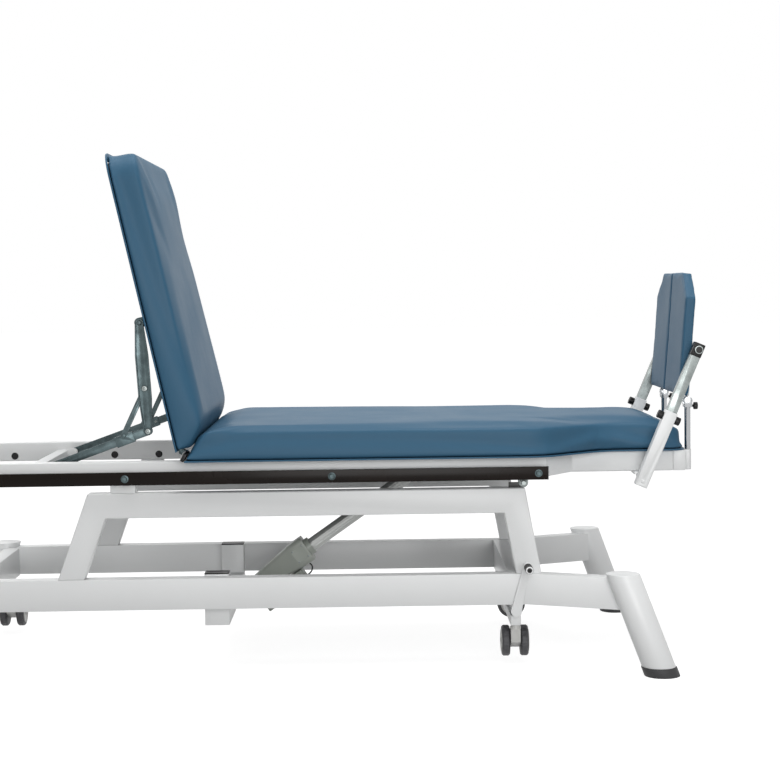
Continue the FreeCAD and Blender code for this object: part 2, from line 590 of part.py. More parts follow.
# Backrest brackets: a hinge leaf and a stay lug on each side of the board's back
topPin = flatSpot(cell("topPinX") - cell("hingeX"), cell("topPinZ") - cell("hingeZ"))
channelY = linkY + cell("linkThick") / 2 + cell("blockWall") + cell("braceThick") + 3 * cell("layer")
brackets = []
for side, sign in sides:
    tag = side.capitalize()
    leaf = box("Leaf" + tag, "leafLong", "leafWide", "leafThick", at(
        -cell("leafLong") - cell("leafEnd"), sign * hingeY - cell("leafWide") / 2, -fall - cell("leafThick")))
    arm = padded("LeafArm" + tag, "XZ_Plane", [
        ("-60", "-leafThick - " + drop), ("-6", "-leafThick - " + drop),
        ("knuckleDia / 2", "-3"), ("0", "knuckleDia / 2 - 1"),
        ("-12", "0"), ("-16", "-" + drop), ("-60", "-" + drop)], "knuckleDia", both=True)
    arm.Placement = at(0, sign * hingeY, 0)
    knuckle = cross("Knuckle" + tag, "knuckleDia / 2", "knuckleDia", 0, sign * hingeY, 0)
    bore = cross("KnuckleBore" + tag, "knuckleDia / 4 + pinPlay", "knuckleDia * 2", 0, sign * hingeY, 0)
    leafPart = cut("LeafPart" + tag, fused("LeafSolid" + tag, [leaf, arm, knuckle]), bore)
    lugY = sign * (channelY - cell("layer") - cell("lugThick") / 2)
    plate = box("LugPlate" + tag, "lugPlate", "leafWide", "leafThick",
                at(topPin[0] - cell("lugPlate") / 2, lugY - cell("leafWide") / 2, -fall - cell("leafThick")))
    post = box("LugPost" + tag, "lugLong", "lugThick", "%.9g" % (-fall - cell("leafThick") - topPin[1]),
               at(topPin[0] - cell("lugLong") / 2, lugY - cell("lugThick") / 2, topPin[1]))
    eye = cross("LugDisc" + tag, "lugLong / 2", "lugThick", topPin[0], lugY, topPin[1])
    pinLong = cell("lugThick") + cell("layer") + cell("channelDeep")
    pin = cross("LugPin" + tag, "linkPin / 2", "%.9g" % pinLong, topPin[0],
                lugY + sign * (pinLong - cell("lugThick")) / 2, topPin[1])
    brackets += [leafPart, fused("StayLug" + tag, [plate, post, eye, pin])]
label(raise_(group("BackBrackets", brackets)), "back_brackets")

# Ratchet stays: lower link, sliding block, brace and channelled upper link on each side

anchor = (cell("anchorX"), cell("anchorZ"))
elbow = (cell("elbowX"), cell("elbowZ"))
top = (cell("topPinX"), cell("topPinZ"))


def between(first, second, reach):
    # the point at a distance from first on the way to second, and the way itself
    long = math.hypot(second[0] - first[0], second[1] - first[1])
    way = ((second[0] - first[0]) / long, (second[1] - first[1]) / long)
    return (first[0] + way[0] * reach, first[1] + way[1] * reach), way


def linkPlace(first, second, y):
    # local X runs from the first pin to the second, local Y along the table's Y
    angle = math.degrees(math.atan2(second[1] - first[1], second[0] - first[0]))
    return at(first[0], y, first[1], (0, 1, 0), -angle)


lowerLong = math.hypot(elbow[0] - anchor[0], elbow[1] - anchor[1])
upperLong = math.hypot(top[0] - elbow[0], top[1] - elbow[1])
blockSpot, lowWay = between(elbow, anchor, cell("blockAt"))
braceLow = (blockSpot[0] + lowWay[1] * cell("braceUp"), blockSpot[1] - lowWay[0] * cell("braceUp"))
braceHigh, _ = between(elbow, top, cell("braceAt"))
braceLong = math.hypot(braceHigh[0] - braceLow[0], braceHigh[1] - braceLow[1])

lowers, uppers, blocks, braces = [], [], [], []
for side, sign in sides:
    tag = side.capitalize()
    y = sign * linkY
    bar = padded("LowerBar" + tag, "XZ_Plane", [
        ("0", "-linkWide / 2"), ("%.9g" % lowerLong, "-linkWide / 2"), ("%.9g" % lowerLong, "linkWide / 2"),
        ("0", "linkWide / 2")], "linkThick", both=True)
    ends = [cross("LowerEnd%s%d" % (tag, i), "linkWide / 2", "linkThick", x, 0, 0)
            for i, x in enumerate((0, lowerLong))]
    hole = cross("LowerHole" + tag, "linkPin / 2 + pinPlay", "linkThick * 3", 0, 0, 0)
    lower = cut("Lower" + tag, fused("LowerSolid" + tag, [bar] + ends), hole)
    lower.Placement = linkPlace(anchor, elbow, y)
    lowers.append(lower)

    wall = cell("blockWall")
    blockY = cell("linkThick") + 2 * cell("layer") + 2 * wall
    solid = box("BlockSolid" + tag, "blockLong", "%.9g" % blockY, "blockTall",
                at(-cell("blockLong") / 2, -blockY / 2, -cell("blockTall") / 2))
    slot = box("BlockSlot" + tag, "blockLong + 2", "linkThick + 2 * layer", "linkWide + 2 * layer",
               at(-cell("blockLong") / 2 - 1, -cell("linkThick") / 2 - cell("layer"),
                  -cell("linkWide") / 2 - cell("layer")))
    stud = cross("BlockStud" + tag, "linkPin / 2", "%.9g" % (wall + cell("layer") + cell("braceThick")), 0,
                 sign * (blockY / 2 - wall + (wall + cell("layer") + cell("braceThick")) / 2), cell("braceUp"))
    hollow = cut("BlockHollow" + tag, solid, slot)
    studClear = cut("BlockStudCut" + tag, stud, slot)
    block = fused("Block" + tag, [hollow, studClear])
    block.Placement = linkPlace(blockSpot, elbow, y)
    blocks.append(block)

    braceY = sign * (linkY + blockY / 2 + cell("layer") + cell("braceThick") / 2)
    strip = box("BraceStrip" + tag, "%.9g" % braceLong, "braceThick", "braceWide",
                at(0, -cell("braceThick") / 2, -cell("braceWide") / 2))
    rounds = [cross("BraceEnd%s%d" % (tag, i), "braceWide / 2", "braceThick", x, 0, 0)
              for i, x in enumerate((0, braceLong))]
    eyeHole = cross("BraceHole" + tag, "linkPin / 2 + pinPlay", "braceThick * 3", 0, 0, 0)
    brace = cut("Brace" + tag, fused("BraceSolid" + tag, [strip] + rounds), eyeHole)
    brace.Placement = linkPlace(braceLow, braceHigh, braceY)
    braces.append(brace)

    outY = sign * (linkY + blockY / 2 + 2 * cell("layer") + cell("braceThick") + cell("channelDeep") / 2)
    profile = [("0", "-linkWide / 2"), ("%.9g" % (upperLong * 0.3), "-channelWide / 2"),
               ("%.9g" % (upperLong * 0.7), "-channelWide / 2"), ("%.9g" % upperLong, "-linkWide / 2"),
               ("%.9g" % upperLong, "linkWide / 2"), ("%.9g" % (upperLong * 0.7), "channelWide / 2"),
               ("%.9g" % (upperLong * 0.3), "channelWide / 2"), ("0", "linkWide / 2")]
    inner = [(x, z.replace(" / 2", " / 2 + channelWall") if z.startswith("-") else z + " - channelWall")
             for x, z in profile]
    web = padded("UpperWeb" + tag, "XZ_Plane", profile, "channelDeep", both=True)
    trough = padded("UpperTrough" + tag, "XZ_Plane", inner, "channelDeep", both=True)
    trough.Placement = at(0, sign * cell("channelWall"), 0)
    endDiscs = [cross("UpperEnd%s%d" % (tag, i), "linkWide / 2", "channelWall", x,
                      -sign * (cell("channelDeep") - cell("channelWall")) / 2, 0)
                for i, x in enumerate((0, upperLong))]
    channel = fused("UpperSolid" + tag, [cut("UpperChannel" + tag, web, trough)] + endDiscs)
    pinHole = cross("UpperHole" + tag, "linkPin / 2 + pinPlay", "channelDeep * 3", upperLong, 0, 0)
    upper = cut("Upper" + tag, channel, pinHole)
    upper.Placement = linkPlace(elbow, top, outY)
    uppers.append(upper)
label(group("LowerLinks", lowers), "lower_links")
label(group("RatchetBlocks", blocks), "ratchet_blocks")
label(group("BraceLinks", braces), "brace_links")
label(group("UpperLinks", uppers), "upper_links")

# Lift actuator, drawn upright along its axis and then laid between its pins

liftX, liftZ = cell("highPinX") - cell("lowPinX"), cell("highPinZ") - cell("lowPinZ")
liftLong = math.hypot(liftX, liftZ)
liftAngle = math.degrees(math.atan2(liftZ, liftX))
laid = at(cell("lowPinX"), 0, cell("lowPinZ"), (0, 1, 0), 90 - liftAngle)


def lay(thing):
    thing.Placement = laid
    return thing


# the moulded housing tapers both ways from the gearbox down to the rear eye
taperLow, taperHigh = "eyeDia / 2 - 2", "gearAt + 2"
sideTaper = padded("HousingSide", "XZ_Plane", [
    ("-eyeDia / 2 - 6", taperLow), ("eyeDia / 2 + 6", taperLow),
    ("(gearWide + gearOver) / 2", taperHigh), ("-(gearWide + gearOver) / 2", taperHigh)], "gearWide", both=True)
frontTaper = padded("HousingFront", "YZ_Plane", [
    ("-eyeWide / 2", taperLow), ("eyeWide / 2", taperLow),
    ("(gearWide - gearOver) / 2", taperHigh), ("-(gearWide - gearOver) / 2", taperHigh)],
    "gearWide + 4 * gearOver", both=True)
taper = common("HousingTaper", sideTaper, frontTaper)
doc.recompute()
housing = doc.addObject("Part::Fillet", "HousingShell")
housing.Base = taper
housing.Edges = [(i + 1, cell("taperRound"), cell("taperRound")) for i, edge in enumerate(taper.Shape.Edges)
                 if abs(edge.Vertexes[0].Z - edge.Vertexes[-1].Z) > cell("eyeDia") / 2]

eyeDisc = cross("RearEye", "eyeDia / 2", "eyeWide", 0, 0, 0)
neck = centred("RearNeck", "eyeDia - 4", "eyeWide", "eyeDia / 2", 0, 0, 0)
gearBox = padded("GearBox", "XY_Plane", [
    ("-gearWide / 2 - gearOver", "-gearWide / 2"), ("gearWide / 2 + gearOver", "-gearWide / 2"),
    ("gearWide / 2 + gearOver", "gearWide / 2"), ("-gearWide / 2 - gearOver", "gearWide / 2")], "gearLong")
rounded(gearBox, "housingRound", upright)
gearBox.Placement = at(0, 0, cell("gearAt"))
collar = rod("GearCollar", "liftTube / 2 + 6", "collarLong", at(0, 0, cell("gearAt") + cell("gearLong")))
pinBore = cross("RearBore", "pinDia / 2 + pinPlay", "eyeWide * 2", 0, 0, 0)
rodBore = rod("RodBore", "liftRod / 2 + pinPlay", "tubeEndAt", at(0, 0, cell("rodStartAt") - 3))
pinned = cut("HousingPinned", fused("HousingSolid", [eyeDisc, neck, housing, gearBox, collar]), pinBore)
bored = cut("HousingBored", pinned, rodBore)
label(lay(bored), "actuator_housing")

tubeStart = cell("gearAt") + cell("gearLong") + cell("collarLong")
tubeWall = rod("LiftTubeSolid", "liftTube / 2", "tubeEndAt - %.9g" % tubeStart, at(0, 0, tubeStart))
tubeBore = rod("LiftTubeBore", "liftRod / 2 + pinPlay", "tubeEndAt", at(0, 0, tubeStart - 5))
label(lay(cut("LiftOuter", tubeWall, tubeBore)), "actuator_tube")

ram = rod("Ram", "liftRod / 2", "%.9g - rodStartAt" % (liftLong - 6), at(0, 0, cell("rodStartAt")))
ramEye = cross("RamEye", "eyeDia / 2", "eyeWide", 0, 0, liftLong)
ramPin = cross("RamPin", "pinDia / 2 - 1", "%.9g" % (2 * (earY - cell("earThick") / 2) - 0.6), 0, 0, liftLong)
label(lay(fused("LiftRam", [ram, ramEye, ramPin])), "actuator_rod")

controlBox = padded("ControlBox", "YZ_Plane", [
    ("-controlWide / 2", "controlLow"), ("controlWide / 2", "controlLow"),
    ("controlWide / 2", "gearAt"), ("-controlWide / 2", "gearAt")], "controlDeep")
rounded(controlBox, "housingRound / 2", lambda e: len(e.Vertexes) == 2 and
        abs(e.Vertexes[0].Y - e.Vertexes[1].Y) < 1e-6 and abs(e.Vertexes[0].Z - e.Vertexes[1].Z) < 1e-6)
boxAt = cell("gearWide") / 2 + cell("gearOver") + cell("seam")
label(controlBox, "control_box")
controlBox.Placement = FreeCAD.Placement(laid).multiply(at(boxAt, 0, 0))

# motor lead from the gearbox to the control box, straight runs joined by tangent arcs


def route(points, radius):
    # straight runs through the points with an arc at each inner point, in one wire
    points = [FreeCAD.Vector(*p) for p in points]
    edges, start = [], points[0]
    total = 0.0
    for i in range(1, len(points) - 1):
        a, b, c = points[i - 1], points[i], points[i + 1]
        first, second = a.sub(b).normalize(), c.sub(b).normalize()
        turn = math.pi - first.getAngle(second)
        reach = 0.45 * min(a.distanceToPoint(b), b.distanceToPoint(c))
        arcRadius = reach / math.tan(turn / 2)
        print("lead arc radius %.1f" % arcRadius)
        begin, end = b.add(first * reach), b.add(second * reach)
        middle = first.add(second).normalize()
        centre = b.add(middle * (arcRadius / math.cos(turn / 2)))
        mid = centre.add(b.sub(centre).normalize() * arcRadius)
        edges.append(Part.LineSegment(start, begin).toShape())
        edges.append(Part.Arc(begin, mid, end).toShape())
        total += start.distanceToPoint(begin) + arcRadius * turn
        start = end
    edges.append(Part.LineSegment(start, points[-1]).toShape())
    total += start.distanceToPoint(points[-1])
    wire = Part.Wire(edges)
    ring = Part.Wire(Part.Circle(points[0], points[1].sub(points[0]), radius).toShape())
    tube = wire.makePipeShell([ring], True, False)
    share = tube.Volume / (math.pi * radius ** 2 * total)
    print("lead length %.1f, volume over section times length %.4f" % (total, share))
    return tube


under = cell("gearWide") / 2 + cell("gearOver")
leadShape = route([(under + 0.7, 10, cell("gearAt") + 22), (under + 13, 9, cell("gearAt") + 25),
                   (under + 23, 6, cell("gearAt") + 16), (under + 25, 4, cell("gearAt") + 0.1)],
                  cell("leadDia") / 2)
lead = doc.addObject("Part::Feature", "MotorLead")
lead.Shape = leadShape
label(lay(lead), "motor_lead")

# Foot rods: sockets and stay brackets on the frame, rods with a forked knee on top

rodX = cell("footEndX") + cell("seam") + cell("socketDia") / 2
stayY = cell("stayTube") / 2 + max(cell("seatFootWide") / 2 + cell("stayGap"),
                                   cell("seamHalf") + cell("boardWide") + cell("boardGap"))
stayWay = (cell("pinX") - cell("stayX"), cell("pinZ") - cell("stayZ"))
stayLong = math.hypot(*stayWay)
stayAngle = math.degrees(math.atan2(stayWay[0], stayWay[1]))
kneeIn = cell("kneeWide") / 2
footBrackets, footRods, kneeKnobs = [], [], []
for side, sign in sides:
    tag = side.capitalize()
    y = sign * cell("rodY")
    socket = rod("Socket" + tag, "socketDia / 2", "tubeTall", at(rodX, y, frameLow))
    socketBore = rod("SocketBore" + tag, "rodDia / 2 + pinPlay", "tubeTall", at(rodX, y, frameLow + 6))
    footBrackets.append(cut("SocketBored" + tag, socket, socketBore))
    lugY = sign * (stayY - cell("stayTube") / 2 - cell("sideGap") - cell("earThick") / 2)
    inEnd = cell("narrowWide") / 2 - cell("tubeWide")
    outEnd = stayY - cell("stayTube") / 2 - cell("sideGap")
    shelf = box("StayShelf" + tag, "34", "%.9g" % (outEnd - inEnd), "5",
                at(cell("stayX") - 17, min(sign * inEnd, sign * outEnd), frameLow - 5 - cell("seam")))
    cheek = box("StayCheek" + tag, "stayPin + 14", "earThick", "frameTop - tubeTall - stayZ - seam",
                at(cell("stayX") - cell("stayPin") / 2 - 7, lugY - cell("earThick") / 2, cell("stayZ")))
    eye = cross("StayEye" + tag, "stayPin / 2 + 7", "earThick", cell("stayX"), lugY, cell("stayZ"))
    pinLong = cell("earThick") + cell("sideGap") + cell("stayTube") + 2
    pin = cross("StayPin" + tag, "stayPin / 2", "%.9g" % pinLong, cell("stayX"),
                lugY + sign * (pinLong - cell("earThick")) / 2, cell("stayZ"))
    footBrackets.append(fused("StayBracket" + tag, [shelf, cheek, eye, pin]))

    kneeZ = cell("kneeZ")
    bar = rod("FootRod" + tag, "rodDia / 2", "kneeZ - kneeDia / 2 - 4 - %.9g" % (frameLow + 6.5),
              at(rodX, y, frameLow + 6.5))
    kneeLow = kneeZ - cell("kneeDia") / 2
    yoke = centred("KneeYoke" + tag, "kneeLong", "kneeWide + 2 * earThick + 2 * seam", "5", rodX, y,
                   kneeLow - 6)
    forks = []
    for i, step in enumerate((-1, 1)):
        forkY = y + step * (kneeIn + cell("seam") + cell("earThick") / 2)
        forks.append(centred("KneeFork%s%d" % (tag, i), "kneeLong", "earThick", "kneeDia / 2 + 6", rodX, forkY,
                             kneeLow - 6))
        forks.append(cross("KneeDisc%s%d" % (tag, i), "kneeDia / 2", "earThick", rodX, forkY, kneeZ))
    kneePin = cross("KneePin" + tag, "kneePin / 2", "kneeWide + 2 * earThick", rodX, y, kneeZ)
    footRods.append(fused("FootRodWhole" + tag, [bar, yoke, kneePin] + forks))
    stem = rod("KneeStem" + tag, "3", "8", at(0, 0, 0))
    stem.Placement = at(rodX + cell("kneeLong") / 2, y, kneeLow - 3.5, (0, 1, 0), 90)
    grip = rod("KneeGrip" + tag, "knobDia / 2 - 1", "knobLong - 4", at(0, 0, 0))
    grip.Placement = at(rodX + cell("kneeLong") / 2 + 6, y, kneeLow - 3.5, (0, 1, 0), 90)
    kneeKnobs.append(fused("KneeKnob" + tag, [stem, grip]))
label(group("FootBrackets", footBrackets), "foot_brackets")
label(group("FootRods", footRods), "foot_rods")
label(group("KneeKnobs", kneeKnobs), "knee_knobs")

# Footboards: a padded board with cut outer corners on a steel back frame

for side, sign in sides:
    tag = side.capitalize()
    leaning = at(rodX, 0, cell("kneeZ"), (0, 1, 0), cell("boardLean"))
    inY, outY = "%d * seamHalf" % sign, "%d * (seamHalf + boardWide)" % sign
    board = padded("Footboard" + tag, "YZ_Plane", [
        (inY, "boardUp"), (outY, "boardUp"), (outY, "boardUp + boardTall - chamferZ"),
        ("%d * (seamHalf + boardWide - chamferY)" % sign, "boardUp + boardTall"), (inY, "boardUp + boardTall")],
        "boardPad")
    rounded(board, "boardRound", lambda e: len(e.Vertexes) == 2 and
            abs(e.Vertexes[0].X - e.Vertexes[1].X) > 1 and abs(e.Vertexes[0].Y) > 2 * cell("seamHalf"))
    label(board, "footboard_" + side)
    board.Placement = leaning.multiply(at(-cell("boardFront"), 0, 0))
    backX = cell("boardPad") - cell("boardFront")
    pinDX, pinDZ = cell("pinX") - rodX, cell("pinZ") - cell("kneeZ")
    tilt = math.radians(cell("boardLean"))
    pinSpot = (pinDX * math.cos(tilt) - pinDZ * math.sin(tilt), pinDX * math.sin(tilt) + pinDZ * math.cos(tilt))
    y = sign * cell("rodY")
    stripX = backX + cell("seam") + cell("stripThick") / 2
    stripTall = "%.9g" % (pinSpot[1] + cell("stayPin") / 2)
    strip = centred("BoardStrip" + tag, "stripThick", "stripWide", stripTall, stripX, y, cell("kneeDia") / 2 + 2)
    neck = centred("BoardNeck" + tag, "stripThick", "kneeWide", "kneeDia / 2 + 4", stripX, y, 0)
    knuckle = cross("BoardKnuckle" + tag, "kneeDia / 2 - 1", "kneeWide", 0, y, 0)
    bore = cross("BoardBore" + tag, "kneePin / 2 + pinPlay", "kneeWide * 2", 0, y, 0)
    outEnd = stayY - cell("stayInner") / 2 - cell("stayPinPlay")
    inEnd = cell("rodY") - cell("stripWide") / 2
    pin = cross("BoardPin" + tag, "stayPin / 2", "%.9g" % (outEnd - inEnd), pinSpot[0],
                sign * (outEnd + inEnd) / 2, pinSpot[1])
    saddle = centred("BoardSaddle" + tag, "%.9g" % (pinSpot[0] - backX - cell("seam")), "stripWide", "stayPin",
                     (pinSpot[0] + backX + cell("seam")) / 2, y, pinSpot[1] - cell("stayPin") / 2)
    frame = cut("BoardFrame" + tag, fused("BoardFrameSolid" + tag, [strip, neck, knuckle, pin, saddle]), bore)
    frame.Placement = leaning
    label(frame, "footboard_frame_" + side)

    # telescopic stay: square outer tube, square inner tube and round clamp knobs
    leant = at(cell("stayX"), sign * stayY, cell("stayZ"), (0, 1, 0), stayAngle)
    stayOut = centred("StayOuterSolid" + tag, "stayTube", "stayTube", "stayOuterEnd + stayDrop", 0, 0,
                      -cell("stayDrop"))
    hollow = "stayInner + 2 * stayPlay"
    stayHole = centred("StayHollow" + tag, hollow, hollow, "stayOuterEnd", 0, 0, 24)
    stayBore = cross("StayBore" + tag, "stayPin / 2 + pinPlay", "stayTube * 2", 0, 0, 0)
    outer = cut("StayOuter" + tag, cut("StayOuterOpen" + tag, stayOut, stayHole), stayBore)
    outer.Placement = leant
    label(outer, "stay_outer_" + side)
    stayIn = centred("StayInnerSolid" + tag, "stayInner", "stayInner", "%.9g" % (stayLong + 14 - 62), 0, 0, 62)
    sideKnob = cross("SideKnob" + tag, "knobDia / 2", "knobLong - 2", 0,
                     sign * (cell("stayInner") / 2 + 1.6 + (cell("knobLong") - 2) / 2), stayLong)
    knobNeck = cross("KnobNeck" + tag, "knobDia / 2 - 1", "1.7", 0, sign * (cell("stayInner") / 2 + 0.85),
                     stayLong)
    innerWhole = fused("StayInnerWhole" + tag, [stayIn, knobNeck, sideKnob])
    innerWhole.Placement = leant
    label(innerWhole, "stay_inner_" + side)
    knobs = []
    for i, step in enumerate((-1, 1)):
        knob = rod("ClampKnob%s%d" % (tag, i), "knobDia / 2", "knobLong", at(0, 0, 0))
        outward = step * (cell("stayTube") / 2 + cell("seam"))
        knob.Placement = at(outward, 0, cell("clampAt"), (0, 1, 0), 90 * step)
        knobs.append(knob)
    both = group("ClampKnobs" + tag, knobs)
    both.Placement = leant
    label(both, "clamp_knobs_" + side)

# Castor carriages: a square bar with two swivel castors, lowered by cranks on the pedal's shaft

axleZ = cell("wheelLow") + cell("wheelDia") / 2
yokeY = railInner - cell("yokeInset")
for end, x, way in (("head", cell("headCastorX"), -1), ("foot", cell("footCastorX"), 1)):
    Tag = end.capitalize()
    castorY = cell("baseWide") / 2 - cell(end + "CastorInset")
    bar = centred("CastorBar" + Tag, "castorBar", "baseWide - 2 * %sCastorInset + castorBar" % end, "castorBar",
                  x, 0, cell("barLow"))
    yokes = []
    for i, sign in enumerate((-1, 1)):
        plate = padded("Yoke%s%d" % (Tag, i), "XZ_Plane", [
            ("castorBar / 2", "-yokeDrop"), ("crankLong + yokeReach", "-yokeDrop / 2"),
            ("crankLong + yokeReach", "yokeTall"), ("castorBar / 2", "yokeTall")], "yokeThick", both=True)
        window = box("YokeSlot%s%d" % (Tag, i), "crankLong + 6", "2 * yokeThick",
                     "crankLong * sin(crankRise) + shaftUp + crankPin / 2 + seam - yokeSlotLow",
                     at(0, -cell("yokeThick"), cell("yokeSlotLow")))
        yokes.append((cut("YokeCut%s%d" % (Tag, i), plate, window), sign * yokeY))
    placed = []
    for yoke, y in yokes:
        yoke.Placement = FreeCAD.Placement(FreeCAD.Vector(x, y, cell("barLow") + cell("castorBar")),
                                           FreeCAD.Rotation(FreeCAD.Vector(0, 0, 1), 180 if way > 0 else 0))
        placed.append(yoke)
    label(fused("CastorCarriage" + Tag, [bar] + placed), "castor_bar_" + end)

    # crank shaft with the lever in front of the near rail and the pedal bar on top
    shaftNear, shaftFar = cell("baseWide") / 2 + cell("leverGap"), yokeY + cell("crankGap") - 2
    shaft = cross("CrankShaft" + Tag, "shaftDia / 2", "%.9g" % (shaftNear + shaftFar), x,
                  (shaftFar - shaftNear) / 2, shaftZ)
    cranks = []
    for i, inward in enumerate((1, -1)):
        y = inward * (cell("crankGap") - yokeY)
        crank = padded("Crank%s%d" % (Tag, i), "XZ_Plane", [
            ("0", "-0.75 * shaftDia"), ("crankLong", "-0.75 * crankPin"), ("crankLong", "0.75 * crankPin"),
            ("0", "0.75 * shaftDia")], "crankThick", both=True)
        facing = at(x, y, shaftZ, (0, 0, 1), 180 if way > 0 else 0)
        crank.Placement = facing.multiply(at(0, 0, 0, (0, 1, 0), -cell("crankRise")))
        turn = math.radians(cell("crankRise"))
        pinX, pinZ = x - way * cell("crankLong") * math.cos(turn), shaftZ + cell("crankLong") * math.sin(turn)
        cranks += [crank, cross("CrankHub%s%d" % (Tag, i), "0.75 * shaftDia", "crankThick", x, y, shaftZ),
                   cross("CrankEnd%s%d" % (Tag, i), "0.75 * crankPin", "crankThick", pinX, y, pinZ),
                   cross("CrankPin%s%d" % (Tag, i), "crankPin / 2", "crankGap + crankThick", pinX,
                         y - inward * cell("crankThick"), pinZ)]
    leverTop = (x + cell("pedalX"), shaftZ + cell("pedalZ"))
    leverY = -(cell("baseWide") / 2 + cell("leverGap") + cell("leverThick") / 2)
    lever = padded("Lever" + Tag, "XZ_Plane", [
        ("-leverWide / 2 - 2", "0"), ("leverWide / 2 + 2", "0"),
        ("leverWide / 2 + pedalX / 2 - 2", "pedalZ * 0.55"),
        ("leverWide / 2 - 2 + pedalX", "pedalZ"), ("-leverWide / 2 + 2 + pedalX", "pedalZ"),
        ("-leverWide / 2 + pedalX / 2 + 2", "pedalZ * 0.55")], "leverThick", both=True)
    lever.Placement = at(x, leverY, shaftZ)
    hub = cross("LeverHub" + Tag, "leverWide / 2 + 2", "leverThick", x, leverY, shaftZ)
    head = cross("LeverHead" + Tag, "leverWide / 2 - 2", "leverThick", leverTop[0], leverY, leverTop[1])
    barNear = cell("baseWide") / 2 + cell("pedalReach") - cell("gripLong")
    barLong = barNear + leverY + cell("leverThick") / 2
    pedalBar = cross("PedalBar" + Tag, "pedalDia / 2 - 2", "%.9g" % barLong, leverTop[0], barLong / 2 - barNear,
                     leverTop[1])
    grip = cross("PedalGrip" + Tag, "pedalDia / 2", "gripLong", leverTop[0], -barNear - cell("gripLong") / 2,
                 leverTop[1])
    steel = fused("PedalSteel" + Tag, [shaft] + cranks + [lever, hub, head, pedalBar])
    label(group("Pedal" + Tag, [steel, grip]), "pedal_" + end)

    for side, sign in sides:
        tag = Tag + side.capitalize()
        y = sign * castorY
        # the near foot and the far head castor stand with their axles along X, the others trail outwards
        turnedIn = (end, side) in (("foot", "near"), ("head", "far"))
        place = at(x, y, 0, (0, 0, 1), 90 if turnedIn else (0 if way > 0 else 180))
        halfFork = cell("wheelGap") / 2 - 1
        hood = padded("Hood" + tag, "XZ_Plane", [
            ("-13", "barLow - 10"), ("-10", "%.9g" % (axleZ + 2)), ("trail - 12", "%.9g" % (axleZ - 14)),
            ("trail + 12", "%.9g" % (axleZ - 14)), ("trail + 14", "%.9g" % (axleZ + 10)),
            ("trail + 2", "%.9g" % (axleZ + 30)), ("13", "barLow - 10")], "%.9g" % (2 * halfFork), both=True)
        collar = rod("CastorCollar" + tag, "13", "8", at(0, 0, cell("barLow") - 12))
        stem = rod("CastorStem" + tag, "10", "12", at(0, 0, cell("barLow") - 12.3))
        axle = cross("CastorAxle" + tag, "5", "wheelGap + 2 * wheelWide - 4", cell("trail"), 0, axleZ)
        fork = fused("CastorFork" + tag, [hood, collar, stem, axle])
        fork.Placement = place
        label(fork, "castor_fork_%s_%s" % (end, side))
        wheels = []
        for i, step in enumerate((-1, 1)):
            wheel = turned("Wheel%s%d" % (tag, i), [
                ("5 + pinPlay", "-wheelWide / 2"), ("wheelDia / 2 - 8", "-wheelWide / 2"),
                ("wheelDia / 2 - 3", "-wheelWide / 2 + 0.5"), ("wheelDia / 2", "-wheelWide / 2 + 4"),
                ("wheelDia / 2", "wheelWide / 2 - 4"), ("wheelDia / 2 - 3", "wheelWide / 2 - 0.5"),
                ("wheelDia / 2 - 8", "wheelWide / 2"), ("5 + pinPlay", "wheelWide / 2")])
            wheel.Placement = FreeCAD.Placement(
                FreeCAD.Vector(cell("trail"), step * (cell("wheelGap") / 2 + cell("wheelWide") / 2), axleZ),
                FreeCAD.Rotation(FreeCAD.Vector(1, 0, 0), 90))
            wheels.append(wheel)
        pair = group("Wheels" + tag, wheels)
        pair.Placement = place
        label(pair, "castor_wheels_%s_%s" % (end, side))

# Every object is checked before anything is written

doc.recompute()
broken = [thing.Name for thing in doc.Objects if {"Invalid", "Error"} & set(thing.State)]
broken += [node.Label for node in nodes if node.Shape.isNull() or not node.Shape.isValid()]
if broken:
    raise SystemExit("failed: " + ", ".join(broken))
for node in nodes:
    node.Shape.exportStep("parts/%s.step" % node.Label)
    print(node.Label, len(node.Shape.Solids), round(node.Shape.Volume / 1000))
print(len(nodes), "nodes")
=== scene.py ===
import bpy
import bmesh
import json
import math
from mathutils import Matrix, Vector


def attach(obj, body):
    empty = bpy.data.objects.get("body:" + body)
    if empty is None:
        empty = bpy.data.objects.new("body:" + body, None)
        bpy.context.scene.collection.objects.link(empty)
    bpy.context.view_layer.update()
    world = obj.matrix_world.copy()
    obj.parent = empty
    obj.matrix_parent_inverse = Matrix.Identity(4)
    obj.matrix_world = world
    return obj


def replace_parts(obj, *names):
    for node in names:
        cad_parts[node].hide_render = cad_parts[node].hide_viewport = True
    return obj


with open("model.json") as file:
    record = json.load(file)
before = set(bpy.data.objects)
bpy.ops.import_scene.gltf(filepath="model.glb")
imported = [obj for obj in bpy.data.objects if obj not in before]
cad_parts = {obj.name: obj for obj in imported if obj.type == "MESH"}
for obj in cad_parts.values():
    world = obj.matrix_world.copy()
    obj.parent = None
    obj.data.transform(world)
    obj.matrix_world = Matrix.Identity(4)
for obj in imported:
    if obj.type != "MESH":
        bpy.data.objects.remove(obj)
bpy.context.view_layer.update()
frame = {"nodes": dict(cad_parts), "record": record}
cadNodes = frame["nodes"]
slotOf = {part["node"]: part["material_slot"] for part in frame["record"]["subparts"]}
bodies = frame["record"]["behaviour"]["bodies"]
bodyOfNode = {node: body for body, members in bodies.items() for node in members}
print("frame loaded:", len(cadNodes), "nodes")

scene = bpy.context.scene
scene.view_settings.view_transform = "Standard"
weldGap = 0.00001
clothFrames = 20


# Working tools

def clearSelection():
    if bpy.context.object and bpy.context.object.mode != "OBJECT":
        bpy.ops.object.mode_set(mode="OBJECT")
    bpy.ops.object.select_all(action="DESELECT")


def choose(thing):
    clearSelection()
    thing.select_set(True)
    bpy.context.view_layer.objects.active = thing


